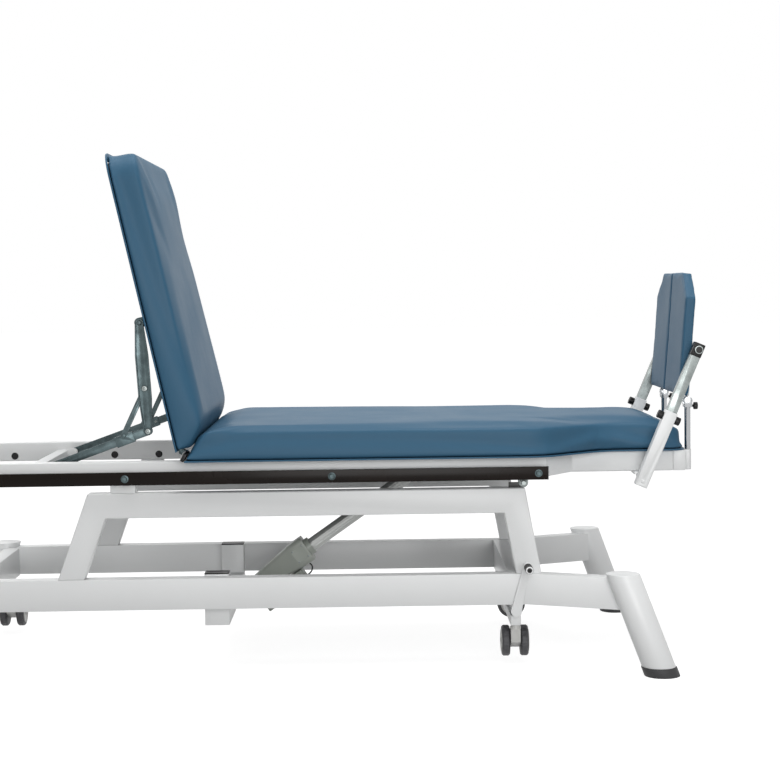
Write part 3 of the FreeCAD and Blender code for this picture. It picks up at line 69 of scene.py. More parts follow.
def settle(thing):
    # the place goes into the mesh, so the object ends at the origin
    choose(thing)
    bpy.ops.object.transform_apply(location=True, rotation=True, scale=True)
    return thing


def applyAll(thing):
    choose(thing)
    for name in [m.name for m in thing.modifiers]:
        bpy.ops.object.modifier_apply(modifier=name)
    return thing


def smoothOver(thing, angle=35):
    choose(thing)
    bpy.ops.object.shade_smooth_by_angle(angle=math.radians(angle))
    return thing


def softenEdges(thing, width, steps=2, angle=35):
    bevel = thing.modifiers.new("softEdges", "BEVEL")
    bevel.width, bevel.segments = width, steps
    bevel.limit_method, bevel.angle_limit = "ANGLE", math.radians(angle)
    return applyAll(thing)


def editFaces(thing, wanted):
    # opens the piece in edit mode with only the wanted faces selected
    choose(thing)
    bpy.ops.object.mode_set(mode="EDIT")
    bpy.ops.mesh.select_mode(type="FACE")
    mesh = bmesh.from_edit_mesh(thing.data)
    for face in mesh.faces:
        face.select_set(False)
    for face in mesh.faces:
        if wanted(face):
            face.select_set(True)
    bmesh.update_edit_mesh(thing.data)


def leaveEdit():
    bpy.ops.object.mode_set(mode="OBJECT")


def joined(things, name):
    clearSelection()
    for thing in things:
        thing.select_set(True)
    bpy.context.view_layer.objects.active = things[0]
    if len(things) > 1:
        bpy.ops.object.join()
    things[0].name = name
    return settle(things[0])


def copyOf(thing, name):
    copy = thing.copy()
    copy.data = thing.data.copy()
    copy.name = name
    copy.parent = None
    scene.collection.objects.link(copy)
    copy.hide_viewport = copy.hide_render = False
    copy.hide_set(False)
    return copy


def dressed(thing, material, body):
    thing.data.materials.clear()
    thing.data.materials.append(material)
    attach(thing, body)
    return thing


def turnTo(direction):
    # turns a piece made along Z to the direction
    return Vector(direction).normalized().to_track_quat("Z", "Y").to_euler()


# Shared effects, as node groups

def newGroup(name, inputs, outputs):
    group = bpy.data.node_groups.new(name, "ShaderNodeTree")
    for label, kind, value in inputs:
        socket = group.interface.new_socket(name=label, in_out="INPUT", socket_type=kind)
        socket.default_value = value
    for label, kind in outputs:
        group.interface.new_socket(name=label, in_out="OUTPUT", socket_type=kind)
    start = group.nodes.new("NodeGroupInput")
    end = group.nodes.new("NodeGroupOutput")
    start.location, end.location = (-900, 0), (600, 0)
    return group, start, end


def mathNode(tree, operation, first, second):
    node = tree.nodes.new("ShaderNodeMath")
    node.operation = operation
    for socket, value in zip(node.inputs, (first, second)):
        if isinstance(value, (int, float)):
            socket.default_value = value
        else:
            tree.links.new(value, socket)
    return node.outputs[0]


def spread(tree, value, low, high, start=0.0, stop=1.0):
    node = tree.nodes.new("ShaderNodeMapRange")
    tree.links.new(value, node.inputs["Value"])
    node.inputs["From Min"].default_value, node.inputs["From Max"].default_value = low, high
    node.inputs["To Min"].default_value, node.inputs["To Max"].default_value = start, stop
    return node.outputs["Result"]


def noiseOn(tree, place, scale, detail=3.0, rough=0.5):
    node = tree.nodes.new("ShaderNodeTexNoise")
    tree.links.new(place, node.inputs["Vector"])
    if isinstance(scale, (int, float)):
        node.inputs["Scale"].default_value = scale
    else:
        tree.links.new(scale, node.inputs["Scale"])
    node.inputs["Detail"].default_value, node.inputs["Roughness"].default_value = detail, rough
    return node.outputs["Fac"]


def makeToneGroup():
    # slow clouds and fine specks that shift a colour and its roughness
    group, start, end = newGroup("toneDrift", [
        ("Color", "NodeSocketColor", (0.8, 0.8, 0.8, 1)), ("Cloud Scale", "NodeSocketFloat", 4.0),
        ("Depth", "NodeSocketFloat", 0.06), ("Roughness", "NodeSocketFloat", 0.4),
        ("Roughness Drift", "NodeSocketFloat", 0.08)],
        [("Color", "NodeSocketColor"), ("Roughness", "NodeSocketFloat")])
    place = group.nodes.new("ShaderNodeTexCoord").outputs["Object"]
    cloud = noiseOn(group, place, start.outputs["Cloud Scale"], 4.0, 0.6)
    speck = noiseOn(group, place, 260.0, 2.0, 0.5)
    slow, quick = mathNode(group, "MULTIPLY", cloud, 0.8), mathNode(group, "MULTIPLY", speck, 0.2)
    both = mathNode(group, "ADD", slow, quick)
    shift = mathNode(group, "MULTIPLY", spread(group, both, 0.3, 0.7, -1.0, 1.0), start.outputs["Depth"])
    tint = group.nodes.new("ShaderNodeHueSaturation")
    group.links.new(start.outputs["Color"], tint.inputs["Color"])
    group.links.new(mathNode(group, "ADD", shift, 1.0), tint.inputs["Value"])
    group.links.new(tint.outputs["Color"], end.inputs["Color"])
    swing = spread(group, cloud, 0.3, 0.7, -1.0, 1.0)
    rough = mathNode(group, "MULTIPLY", swing, start.outputs["Roughness Drift"])
    group.links.new(mathNode(group, "ADD", rough, start.outputs["Roughness"]), end.inputs["Roughness"])
    return group


def makeGrainGroup():
    # pebbled cells over a finer noise, as a normal
    group, start, end = newGroup("pebbleGrain", [
        ("Scale", "NodeSocketFloat", 900.0), ("Height", "NodeSocketFloat", 0.3),
        ("Orange Peel", "NodeSocketFloat", 0.0)],
        [("Normal", "NodeSocketVector"), ("Cells", "NodeSocketFloat")])
    place = group.nodes.new("ShaderNodeTexCoord").outputs["Object"]
    cells = group.nodes.new("ShaderNodeTexVoronoi")
    cells.feature = "SMOOTH_F1"
    group.links.new(place, cells.inputs["Vector"])
    group.links.new(start.outputs["Scale"], cells.inputs["Scale"])
    fine = noiseOn(group, place, mathNode(group, "MULTIPLY", start.outputs["Scale"], 0.35), 3.0, 0.6)
    slow = mathNode(group, "MULTIPLY", noiseOn(group, place, 140.0, 2.0, 0.5), start.outputs["Orange Peel"])
    pebbles = mathNode(group, "ADD", cells.outputs["Distance"], mathNode(group, "MULTIPLY", fine, 0.6))
    height = mathNode(group, "ADD", pebbles, slow)
    bump = group.nodes.new("ShaderNodeBump")
    bump.inputs["Distance"].default_value = 0.0004
    group.links.new(start.outputs["Height"], bump.inputs["Strength"])
    group.links.new(height, bump.inputs["Height"])
    group.links.new(bump.outputs["Normal"], end.inputs["Normal"])
    group.links.new(cells.outputs["Distance"], end.inputs["Cells"])
    return group


def makeBrushGroup():
    # long thin streaks, for drawn, ground or extruded metal
    group, start, end = newGroup("brushLines", [
        ("Stretch", "NodeSocketVector", (4.0, 400.0, 400.0)), ("Turn", "NodeSocketVector", (0.0, 0.0, 0.0)),
        ("Roughness", "NodeSocketFloat", 0.3), ("Drift", "NodeSocketFloat", 0.15),
        ("Height", "NodeSocketFloat", 0.15)],
        [("Roughness", "NodeSocketFloat"), ("Normal", "NodeSocketVector"), ("Streak", "NodeSocketFloat")])
    place = group.nodes.new("ShaderNodeTexCoord").outputs["Object"]
    lay = group.nodes.new("ShaderNodeMapping")
    group.links.new(place, lay.inputs["Vector"])
    group.links.new(start.outputs["Turn"], lay.inputs["Rotation"])
    pull = group.nodes.new("ShaderNodeVectorMath")
    pull.operation = "MULTIPLY"
    group.links.new(lay.outputs["Vector"], pull.inputs[0])
    group.links.new(start.outputs["Stretch"], pull.inputs[1])
    streak = noiseOn(group, pull.outputs["Vector"], 1.0, 4.0, 0.6)
    drift = mathNode(group, "MULTIPLY", spread(group, streak, 0.3, 0.7, -0.5, 0.5), start.outputs["Drift"])
    group.links.new(mathNode(group, "ADD", drift, start.outputs["Roughness"]), end.inputs["Roughness"])
    bump = group.nodes.new("ShaderNodeBump")
    bump.inputs["Distance"].default_value = 0.0002
    group.links.new(start.outputs["Height"], bump.inputs["Strength"])
    group.links.new(streak, bump.inputs["Height"])
    group.links.new(bump.outputs["Normal"], end.inputs["Normal"])
    group.links.new(streak, end.inputs["Streak"])
    return group


toneGroup, grainGroup, brushGroup = makeToneGroup(), makeGrainGroup(), makeBrushGroup()


def place(tree, group, **values):
    node = tree.nodes.new("ShaderNodeGroup")
    node.node_tree = group
    for label, value in values.items():
        node.inputs[label.replace("_", " ")].default_value = value
    return node


def newMaterial(name, color, roughness, cloud=4.0, depth=0.05, drift=0.06, metallic=0.0, **shaderValues):
    material = bpy.data.materials.new(name)
    material.use_nodes = True
    material.diffuse_color = (*color, 1)
    tree = material.node_tree
    shader = tree.nodes["Principled BSDF"]
    tone = place(tree, toneGroup, Color=(*color, 1), Cloud_Scale=cloud, Depth=depth, Roughness=roughness,
                 Roughness_Drift=drift)
    tree.links.new(tone.outputs["Color"], shader.inputs["Base Color"])
    tree.links.new(tone.outputs["Roughness"], shader.inputs["Roughness"])
    shader.inputs["Metallic"].default_value = metallic
    for label, value in shaderValues.items():
        shader.inputs[label.replace("_", " ")].default_value = value
    return material, tree, shader


def grained(made, scale, height, peel=0.0):
    material, tree, shader = made
    grain = place(tree, grainGroup, Scale=scale, Height=height, Orange_Peel=peel)
    tree.links.new(grain.outputs["Normal"], shader.inputs["Normal"])
    return material


def brushed(made, stretch, turn=(0, 0, 0), roughness=0.3, drift=0.15, height=0.12):
    material, tree, shader = made
    lines = place(tree, brushGroup, Stretch=stretch, Turn=turn, Roughness=roughness, Drift=drift,
                  Height=height)
    tree.links.new(lines.outputs["Roughness"], shader.inputs["Roughness"])
    tree.links.new(lines.outputs["Normal"], shader.inputs["Normal"])
    return material


# Finishes

finishes = {
    "white_paint": grained(newMaterial("whitePowderCoat", (0.80, 0.81, 0.81), 0.34, 3.0, 0.018, 0.05),
                           500.0, 0.05, 1.2),
    "foot_rubber": grained(newMaterial("blackFootRubber", (0.022, 0.022, 0.024), 0.62, 20.0, 0.15, 0.08),
                           700.0, 0.25),
    "upholstery": grained(newMaterial("blueVinyl", (0.034, 0.104, 0.176), 0.48, 5.0, 0.04, 0.05,
                                      Specular_IOR_Level=0.2), 850.0, 0.2),
    "pad_board": grained(newMaterial("blackBoardCloth", (0.030, 0.034, 0.042), 0.75, 9.0, 0.12, 0.05),
                         1100.0, 0.5),
    # painted reflection: the rails' near-black brown stands in for the dark surroundings mirrored in a
    # polished steel rail
    "rail_dark": newMaterial("darkRailPaintedReflection", (0.006, 0.0032, 0.002), 0.26, 6.0, 0.25, 0.05,
                             Specular_IOR_Level=0.12)[0],
    "zinc_steel": brushed(newMaterial("zincPlatedSteel", (0.25, 0.275, 0.27), 0.34, 30.0, 0.25, 0.08, 1.0),
                          (30, 300, 30), roughness=0.36, drift=0.2),
    "linkSteel": brushed(newMaterial("darkZincSteel", (0.075, 0.10, 0.105), 0.34, 40.0, 0.35, 0.08, 1.0),
                         (30, 300, 30), roughness=0.38, drift=0.25),
    "bearing_plastic": grained(newMaterial("blackBearingPlastic", (0.03, 0.03, 0.03), 0.4, 14.0, 0.1),
                               900.0, 0.1),
    "motor_plastic": grained(newMaterial("greyMotorPlastic", (0.33, 0.355, 0.32), 0.42, 16.0, 0.05),
                             1200.0, 0.15),
    "lift_tube": brushed(newMaterial("drawnAluminium", (0.42, 0.43, 0.42), 0.45, 10.0, 0.08, 0.05, 0.6),
                         (6, 500, 500), (0, math.radians(34.8), 0), 0.46, 0.15),
    "rod_chrome": newMaterial("polishedRod", (0.38, 0.39, 0.40), 0.18, 12.0, 0.05, 0.04, 1.0)[0],
    "lead_rubber": grained(newMaterial("blackLeadRubber", (0.02, 0.02, 0.02), 0.5, 30.0, 0.1), 900.0, 0.2),
    "knob_black": grained(newMaterial("blackKnobPlastic", (0.006, 0.006, 0.0065), 0.36, 25.0, 0.2,
                                      Specular_IOR_Level=0.25), 1200.0, 0.1),
    "wheel_grey": grained(newMaterial("greyTyreRubber", (0.055, 0.055, 0.06), 0.55, 30.0, 0.12),
                          900.0, 0.2),
    "fork_grey": grained(newMaterial("paleCastorPlastic", (0.56, 0.56, 0.54), 0.4, 20.0, 0.04),
                         1000.0, 0.1),
}
print("finishes made:", len(finishes))


# Rigid nodes: a merged copy with softened edges stands for each plain one

edgeWidths = {
    "base_rail_near": 0.0025, "base_rail_far": 0.0025, "head_cross_tube": 0.002, "foot_cross_tube": 0.002,
    "lift_cross_member": 0.002, "trestle_near": 0.003, "trestle_far": 0.003, "rest_blocks": 0.002,
    "side_tube_near": 0.003, "side_tube_far": 0.003, "foot_rail_near": 0.003, "foot_rail_far": 0.003,
    "platform_cross_tubes": 0.0012, "hinge_cross_tube": 0.0008, "lift_cross_tube": 0.0012,
    "accessory_rail_near": 0.0008, "accessory_rail_far": 0.0008, "seat_board": 0.002, "back_board": 0.002,
    "foot_brackets": 0.0007, "tilt_ears": 0.0007, "tilt_bearings": 0.0007, "back_brackets": 0.0006,
    "lower_links": 0.0005, "ratchet_blocks": 0.0018, "brace_links": 0.0005, "upper_links": 0.0006,
    "footboard_frame_near": 0.0006, "footboard_frame_far": 0.0006, "stay_outer_near": 0.0015,
    "stay_outer_far": 0.0015, "stay_inner_near": 0.001, "stay_inner_far": 0.001, "castor_bar_head": 0.0015,
    "castor_bar_foot": 0.0015, "pedal_head": 0.0012, "pedal_foot": 0.0012, "foot_rods": 0.0006,
    "legs": 0.0008, "rubber_feet": 0.0015, "actuator_housing": 0.001, "control_box": 0.0012,
    "castor_fork_head_near": 0.0012, "castor_fork_head_far": 0.0012, "castor_fork_foot_near": 0.0012,
    "castor_fork_foot_far": 0.0012, "castor_wheels_head_near": 0.0, "castor_wheels_head_far": 0.0,
    "castor_wheels_foot_near": 0.0, "castor_wheels_foot_far": 0.0, "actuator_rod": 0.0006,
    "knee_knobs": 0.0015, "clamp_knobs_near": 0.0015, "clamp_knobs_far": 0.0015, "motor_lead": 0.0,
}

ownFinish = {"lower_links": "linkSteel", "upper_links": "linkSteel", "brace_links": "linkSteel",
             "back_brackets": "linkSteel", "ratchet_blocks": "linkSteel"}


def pieceName(node):
    words = node.split("_")
    return words[0] + "".join(word.capitalize() for word in words[1:])


def standIn(node, width):
    copy = copyOf(cadNodes[node], pieceName(node))
    choose(copy)
    bpy.ops.object.mode_set(mode="EDIT")
    bpy.ops.mesh.select_all(action="SELECT")
    bpy.ops.mesh.remove_doubles(threshold=weldGap)
    bpy.ops.mesh.dissolve_limited(angle_limit=math.radians(1.0))
    leaveEdit()
    if width:
        softenEdges(copy, width, 2, 40)
    smoothOver(copy, 38)
    dressed(copy, finishes[ownFinish.get(node, slotOf[node])], bodyOfNode[node])
    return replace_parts(copy, node)


for nodeName, node in cadNodes.items():
    node.data.materials.clear()
    node.data.materials.append(finishes[slotOf[nodeName]])
rigidPieces = {node: standIn(node, width) for node, width in edgeWidths.items()}
print("rigid pieces dressed:", len(rigidPieces))


# Cushions

def bandCut(thing, point, normal, keepAbove):
    # cuts a closed piece by a plane and closes the cut
    choose(thing)
    bpy.ops.object.mode_set(mode="EDIT")
    bpy.ops.mesh.select_all(action="SELECT")
    bpy.ops.mesh.remove_doubles(threshold=weldGap)
    bpy.ops.mesh.bisect(plane_co=point, plane_no=normal, use_fill=True, clear_inner=keepAbove,
                        clear_outer=not keepAbove)
    leaveEdit()
    return thing


def puffUp(thing, plan):
    # remeshed and rounded, drawn in a little, then filled by cloth pressure with its underside held
    choose(thing)
    thing.data.remesh_voxel_size = plan["voxel"]
    bpy.ops.object.voxel_remesh()
    held, free = thing.vertex_groups.new(name="held"), thing.vertex_groups.new(name="free")
    pressed = plan.get("pressed")
    for vertex in thing.data.vertices:
        spot = vertex.co
        under = spot.z < plan["heldTo"]
        if pressed and abs((spot - pressed["point"]).dot(pressed["normal"])) < plan["voxel"] * 0.7:
            under = under or (abs(spot.y) < pressed["reach"] and spot.z < pressed["top"])
        (held if under else free).add([vertex.index], 1.0, "REPLACE")
    rounding = thing.modifiers.new("rounding", "SMOOTH")
    rounding.factor, rounding.iterations, rounding.vertex_group = 0.5, plan["rounding"], "free"
    applyAll(thing)
    heldMark = thing.vertex_groups["held"].index
    isHeld = [any(share.group == heldMark for share in vertex.groups) for vertex in thing.data.vertices]
    normals = [v.normal.copy() for v in thing.data.vertices]
    fall = plan.get("endFall")
    for vertex, normal, still in zip(thing.data.vertices, normals, isHeld):
        if not still:
            vertex.co -= normal * plan["drawIn"]
        if fall and vertex.co.x > fall["from"]:
            far = (vertex.co.x - fall["from"]) / (fall["to"] - fall["from"])
            vertex.co.z = plan["low"] + (vertex.co.z - plan["low"]) * (1 - fall["share"] * far * far)
    start = [v.co.copy() for v in thing.data.vertices]
    cloth = thing.modifiers.new("fill", "CLOTH")
    cloth.settings.quality = 5
    cloth.settings.mass = 0.3
    cloth.settings.tension_stiffness = cloth.settings.compression_stiffness = plan["stiff"]
    cloth.settings.shear_stiffness = plan["stiff"]
    cloth.settings.bending_stiffness = 0.5
    cloth.settings.use_pressure = True
    cloth.settings.uniform_pressure_force = plan["pressure"]
    cloth.settings.vertex_group_mass = "held"
    cloth.settings.effector_weights.gravity = 0
    cloth.collision_settings.use_collision = False
    cloth.collision_settings.use_self_collision = False
    cloth.point_cache.frame_start, cloth.point_cache.frame_end = 1, clothFrames
    for step in range(1, clothFrames + 1):
        scene.frame_set(step)
    shown = thing.evaluated_get(bpy.context.evaluated_depsgraph_get()).data
    filled = [v.co.copy() for v in shown.vertices]
    thing.modifiers.clear()
    for vertex, first, last in zip(thing.data.vertices, start, filled):
        move = last - first
        if move.length > plan["cap"]:
            move = move.normalized() * plan["cap"]
        vertex.co = first + move
    scene.frame_set(1)
    thing.vertex_groups.clear()
    relax = thing.modifiers.new("relax", "SMOOTH")
    relax.factor, relax.iterations = 0.5, plan["relax"]
    finer = thing.modifiers.new("finer", "SUBSURF")
    finer.levels = finer.render_levels = 1
    applyAll(thing)
    choose(thing)
    bpy.ops.object.shade_smooth()
    return thing


wrapGap = 0.0006
seatCushion = {"voxel": 0.009, "drawIn": 0.003, "pressure": 5.0, "stiff": 12.0, "cap": 0.008, "relax": 6,
               "rounding": 34, "low": 0.5165, "heldTo": 0.5262,
               "pressed": {"point": Vector((-0.274, 0, 0.512)), "normal": Vector((-0.8716, 0, 0.4902)),
                           "reach": 0.325, "top": 0.578},
               "endFall": {"from": 0.80, "to": 0.945, "share": 0.30}}

seatPad = copyOf(cadNodes["seat_pad"], "seatCushion")
bandCut(seatPad, (0, 0, seatCushion["low"]), (0, 0, 1), True)
puffUp(seatPad, seatCushion)
dressed(seatPad, finishes["upholstery"], "platform")
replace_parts(seatPad, "seat_pad")

seatBand = copyOf(cadNodes["seat_pad"], "seatBoardWrap")
bandCut(seatBand, (0, 0, seatCushion["low"] - wrapGap), (0, 0, 1), False)
softenEdges(seatBand, 0.0012, 2, 40)
smoothOver(seatBand)
dressed(seatBand, finishes["upholstery"], "platform")
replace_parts(seatBand, "seat_pad")
print("seat cushion made")

hinge = Vector((-0.278, 0, 0.524))
raised = math.radians(77.6)
layFlat = Matrix.Translation(hinge) @ Matrix.Rotation(-raised, 4, "Y") @ Matrix.Translation(-hinge)
backUp = layFlat.inverted()
backCushion = {"voxel": 0.009, "drawIn": 0.003, "pressure": 5.0, "stiff": 12.0, "cap": 0.008, "relax": 6,
               "rounding": 34, "low": 0.5165, "heldTo": 0.5262,
               "pressed": {"point": layFlat @ Vector((-0.2763, 0, 0.512)),
                           "normal": layFlat.to_3x3() @ Vector((0.8716, 0, -0.4902)),
                           "reach": 0.325, "top": 0.578}}


def laidCopy(node, name):
    copy = copyOf(cadNodes[node], name)
    copy.data.transform(layFlat)
    return copy


backPad = laidCopy("back_pad", "backCushion")
bandCut(backPad, (0, 0, backCushion["low"]), (0, 0, 1), True)
puffUp(backPad, backCushion)
backPad.data.transform(backUp)
dressed(backPad, finishes["upholstery"], "backrest")
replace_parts(backPad, "back_pad")

backBand = laidCopy("back_pad", "backBoardWrap")
bandCut(backBand, (0, 0, backCushion["low"] - wrapGap), (0, 0, 1), False)
softenEdges(backBand, 0.0012, 2, 40)
smoothOver(backBand)
backBand.data.transform(backUp)
dressed(backBand, finishes["upholstery"], "backrest")
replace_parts(backBand, "back_pad")
print("backrest cushion made")

# nothing of a footboard pad is held: it lies above both heights
boardPads = {"voxel": 0.0045, "drawIn": 0.0016, "pressure": 3.0, "stiff": 15.0, "cap": 0.0026, "relax": 2,
             "rounding": 2, "low": -10.0, "heldTo": -9.0}
for side in ("near", "far"):
    board = copyOf(cadNodes["footboard_" + side], "footboardPad" + side.capitalize())
    choose(board)
    bpy.ops.object.mode_set(mode="EDIT")
    bpy.ops.mesh.select_all(action="SELECT")
    bpy.ops.mesh.remove_doubles(threshold=weldGap)
    leaveEdit()
    puffUp(board, boardPads)
    dressed(board, finishes["upholstery"], "footboard_" + side)
    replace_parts(board, "footboard_" + side)
print("footboard pads made")


# Small parts

def turned(name, profile, sides=32):
    # a round piece drawn up along Z from a filled circle, ring by ring
    clearSelection()
    radius, height = profile[0]
    bpy.ops.mesh.primitive_circle_add(vertices=sides, radius=radius, fill_type="NGON",
                                      location=(0, 0, height))
    thing = bpy.context.object
    thing.name = name
    settle(thing)
    bpy.ops.object.mode_set(mode="EDIT")
    bpy.ops.mesh.select_mode(type="FACE")
    bpy.ops.mesh.select_all(action="SELECT")
    for nextRadius, nextHeight in profile[1:]:
        bpy.ops.mesh.extrude_region_move(TRANSFORM_OT_translate={"value": (0, 0, nextHeight - height)})
        share = nextRadius / radius
        bpy.ops.transform.resize(value=(share, share, 1), center_override=(0, 0, nextHeight))
        radius, height = nextRadius, nextHeight
    bpy.ops.mesh.select_all(action="SELECT")
    bpy.ops.mesh.normals_make_consistent(inside=False)
    leaveEdit()
    return thing


def slab(name, size, dish, rim, edge):
    # a flat rounded block along Z, its top face set in by the rim and sunk by the dish
    clearSelection()
    bpy.ops.mesh.primitive_cube_add(size=1, location=(0, 0, size[2] / 2), scale=size)
    thing = bpy.context.object
    thing.name = name
    settle(thing)
    editFaces(thing, lambda face: face.normal.z > 0.9)
    bpy.ops.mesh.inset(thickness=rim, depth=-dish)
    leaveEdit()
    return softenEdges(thing, edge, 2, 40)


def stamped(pattern, spots, name):
    # one copy of the pattern for each spot and axis, joined in one piece
    made = []
    for count, (spot, axis) in enumerate(spots):
        thing = copyOf(pattern, name + str(count))
        thing.location, thing.rotation_euler = spot, turnTo(axis)
        made.append(settle(thing))
    bpy.data.objects.remove(pattern)
    return smoothOver(joined(made, name), 40)


def hexBolt(name, across, tall, washer):
    # a hexagon head on its washer
    plate = turned(name + "Washer", [(washer, 0), (washer, 0.0009), (washer - 0.0005, 0.0013)], 28)
    head = turned(name, [(across * 0.577, 0.001), (across * 0.577, tall - 0.0012),
                         (across * 0.48, tall)], 6)
    return joined([head, plate], name)


def screwHead(name, radius, tall):
    # a pan head with a round recess
    return turned(name, [(radius, 0), (radius, tall * 0.5), (radius * 0.82, tall * 0.9),
                         (radius * 0.5, tall), (radius * 0.4, tall * 0.6)], 20)


bothWays = (-1, 1)
upwards = (0, 0, 1)


def mirrored(x, y, z, facing=1):
    # the near and the far spot, facing away from the centre plane, or towards it with -1
    return [((x, way * y, z), (0, way * facing, 0)) for way in bothWays]


bolts = {"stations": (-0.908, -0.415, 0.078, 0.571), "y": 0.335, "z": 0.475,
         "across": 0.0115, "tall": 0.007, "washer": 0.0092}
boltSpots = [spot for x in bolts["stations"] for spot in mirrored(x, bolts["y"], bolts["z"])]
railBolt = hexBolt("railBolt", bolts["across"], bolts["tall"], bolts["washer"])
dressed(stamped(railBolt, boltSpots, "railBolts"), finishes["linkSteel"], "platform")

capNuts = {"stations": (-0.798, -0.527, -0.407), "y": 0.265, "z": 0.476, "radius": 0.0095}
nutRing = capNuts["radius"]
nutSpots = [spot for x in capNuts["stations"] for spot in mirrored(x, capNuts["y"], capNuts["z"], -1)]
capNut = turned("capNut", [(nutRing, 0), (nutRing, 0.001), (nutRing * 0.94, 0.0017),
                           (nutRing * 0.7, 0.0022), (nutRing * 0.35, 0.0024)], 28)
dressed(stamped(capNut, nutSpots, "capNuts"), finishes["knob_black"], "platform")

tiltBolt = {"spot": (0.538, 0.298, 0.448), "across": 0.011, "tall": 0.006, "washer": 0.0078}
pivotBolt = hexBolt("pivotBolt", tiltBolt["across"], tiltBolt["tall"], tiltBolt["washer"])
dressed(stamped(pivotBolt, mirrored(*tiltBolt["spot"]), "pivotBolts"), finishes["zinc_steel"], "platform")

# plugs in the tops of the posts, caps on the accessory rails and blocks beside the backrest's hinge
postPlug = {"size": (0.0594, 0.0394, 0.0035), "x": -0.208, "y": 0.240, "z": 0.231}
plugSpots = [((postPlug["x"], way * postPlug["y"], postPlug["z"]), upwards) for way in bothWays]
dressed(stamped(slab("postPlug", postPlug["size"], 0.0012, 0.005, 0.0009), plugSpots, "postPlugs"),
        finishes["knob_black"], "base")

railEnd = {"size": (0.0106, 0.0316, 0.003), "ends": (-0.930, 0.592), "y": 0.330, "z": 0.475}
railCaps = []
for x in railEnd["ends"]:
    for way in bothWays:
        cap = slab("railCap", railEnd["size"], 0.0005, 0.002, 0.0008)
        cap.data.transform(Matrix.Rotation(math.radians(90), 4, "Z"))
        cap.location = (x, way * railEnd["y"], railEnd["z"])
        cap.rotation_euler = (0, math.radians(90 if x > 0 else -90), 0)
        railCaps.append(settle(cap))
dressed(smoothOver(joined(railCaps, "railCaps")), finishes["knob_black"], "platform")

hingeBlock = {"size": (0.0085, 0.062, 0.020), "x": -0.2795, "y": 0.3035, "z": 0.5150, "lean": 29.4}
hingeBlocks = []
for way in bothWays:
    block = slab("hingeBlock", hingeBlock["size"], 0.0002, 0.0015, 0.0012)
    block.rotation_euler = (0, math.radians(hingeBlock["lean"]), 0)
    block.location = (hingeBlock["x"], way * hingeBlock["y"], hingeBlock["z"])
    hingeBlocks.append(settle(block))
dressed(smoothOver(joined(hingeBlocks, "hingeBlocks")), finishes["knob_black"], "platform")
print("bolts, nuts and plugs made")

# pins of the ratchet stays
linkPins = {"anchor": (-0.6328, 0.2463, 0.4879), "elbow": (-0.367, 0.2572, 0.582),
            "brace": (-0.3733, 0.2572, 0.6858)}
pinRides = {"anchor": "platform", "elbow": "upper_link", "brace": "upper_link"}
for word, spot in linkPins.items():
    pin = turned(word + "Pin", [(0.0072, 0), (0.0072, 0.0018), (0.0062, 0.0034), (0.003, 0.0038),
                                (0.0024, 0.0026)], 28)
    dressed(stamped(pin, mirrored(*spot), word + "Pins"), finishes["zinc_steel"], pinRides[word])

blockScrews = {"middle": (-0.4245, 0.5616), "way": (0.9427, 0.3337), "reach": 0.015, "y": 0.2378}
screwSpots = []
for step in bothWays:
    x, z = (blockScrews["middle"][n] + step * blockScrews["reach"] * blockScrews["way"][n] for n in (0, 1))
    screwSpots += mirrored(x, blockScrews["y"], z, -1)
dressed(stamped(screwHead("blockScrew", 0.0036, 0.002), screwSpots, "blockScrews"), finishes["zinc_steel"],
        "ratchet_block")

# lift: gearbox covers, the control box's lids, their screws and the ribs of the drawn tube
lift = {"foot": Vector((-0.155, 0, 0.144)), "along": Vector((0.821248, 0, 0.570571)),
        "across": Vector((-0.570571, 0, 0.821248)), "gearMid": 0.172, "gearY": 0.031, "tubeRadius": 0.017,
        "tubeFrom": 0.212, "tubeTo": 0.508, "boxMid": Vector((-0.0536, 0, 0.1471)), "boxY": 0.026,
        "ribAngle": 20, "screwLift": 0.0012}
layNear = Matrix((lift["along"], -lift["across"], Vector((0, -1, 0)))).transposed().to_4x4()
layFar = Matrix((lift["along"], lift["across"], Vector((0, 1, 0)))).transposed().to_4x4()


def onSide(thing, spot, way, y):
    # lays a slab against the near or far side of the lift
    thing.data.transform(layNear if way < 0 else layFar)
    thing.location = (spot.x, way * y, spot.z)
    return settle(thing)


def liftSpot(along, across=0.0):
    return lift["foot"] + lift["along"] * along + lift["across"] * across


covers, screws = [], []
for way in bothWays:
    gearCover = slab("gearCover", (0.038, 0.040, 0.0016), 0.0006, 0.003, 0.0006)
    covers.append(onSide(gearCover, liftSpot(lift["gearMid"]), way, lift["gearY"]))
    boxLid = slab("boxLid", (0.118, 0.032, 0.0016), 0.0005, 0.003, 0.0006)
    covers.append(onSide(boxLid, lift["boxMid"], way, lift["boxY"]))
    for step in bothWays:
        for lean in bothWays:
            spot = liftSpot(lift["gearMid"] + step * 0.0145, lean * 0.0155)
            screws.append(((spot.x, way * (lift["gearY"] + lift["screwLift"]), spot.z), (0, way, 0)))
            spot = lift["boxMid"] + lift["along"] * step * 0.054 + lift["across"] * lean * 0.0115
            screws.append(((spot.x, way * (lift["boxY"] + lift["screwLift"]), spot.z), (0, way, 0)))
dressed(smoothOver(joined(covers, "liftCovers")), finishes["motor_plastic"], "actuator")
dressed(stamped(screwHead("liftScrew", 0.0026, 0.0016), screws, "liftScrews"), finishes["zinc_steel"],
        "actuator")

ribs = []
ribLong, ribMid = lift["tubeTo"] - lift["tubeFrom"], (lift["tubeFrom"] + lift["tubeTo"]) / 2
for way in bothWays:
    for lean in bothWays:
        turnBy = math.radians(lift["ribAngle"]) * lean
        rib = slab("tubeRib", (ribLong, 0.0022, 0.0012), 0.0002, 0.0004, 0.0003)
        ribs.append(onSide(rib, liftSpot(ribMid, lift["tubeRadius"] * math.sin(turnBy)), way,
                           lift["tubeRadius"] * math.cos(turnBy) - 0.0005))
dressed(smoothOver(joined(ribs, "liftTubeRibs")), finishes["lift_tube"], "actuator")
print("lift details made")

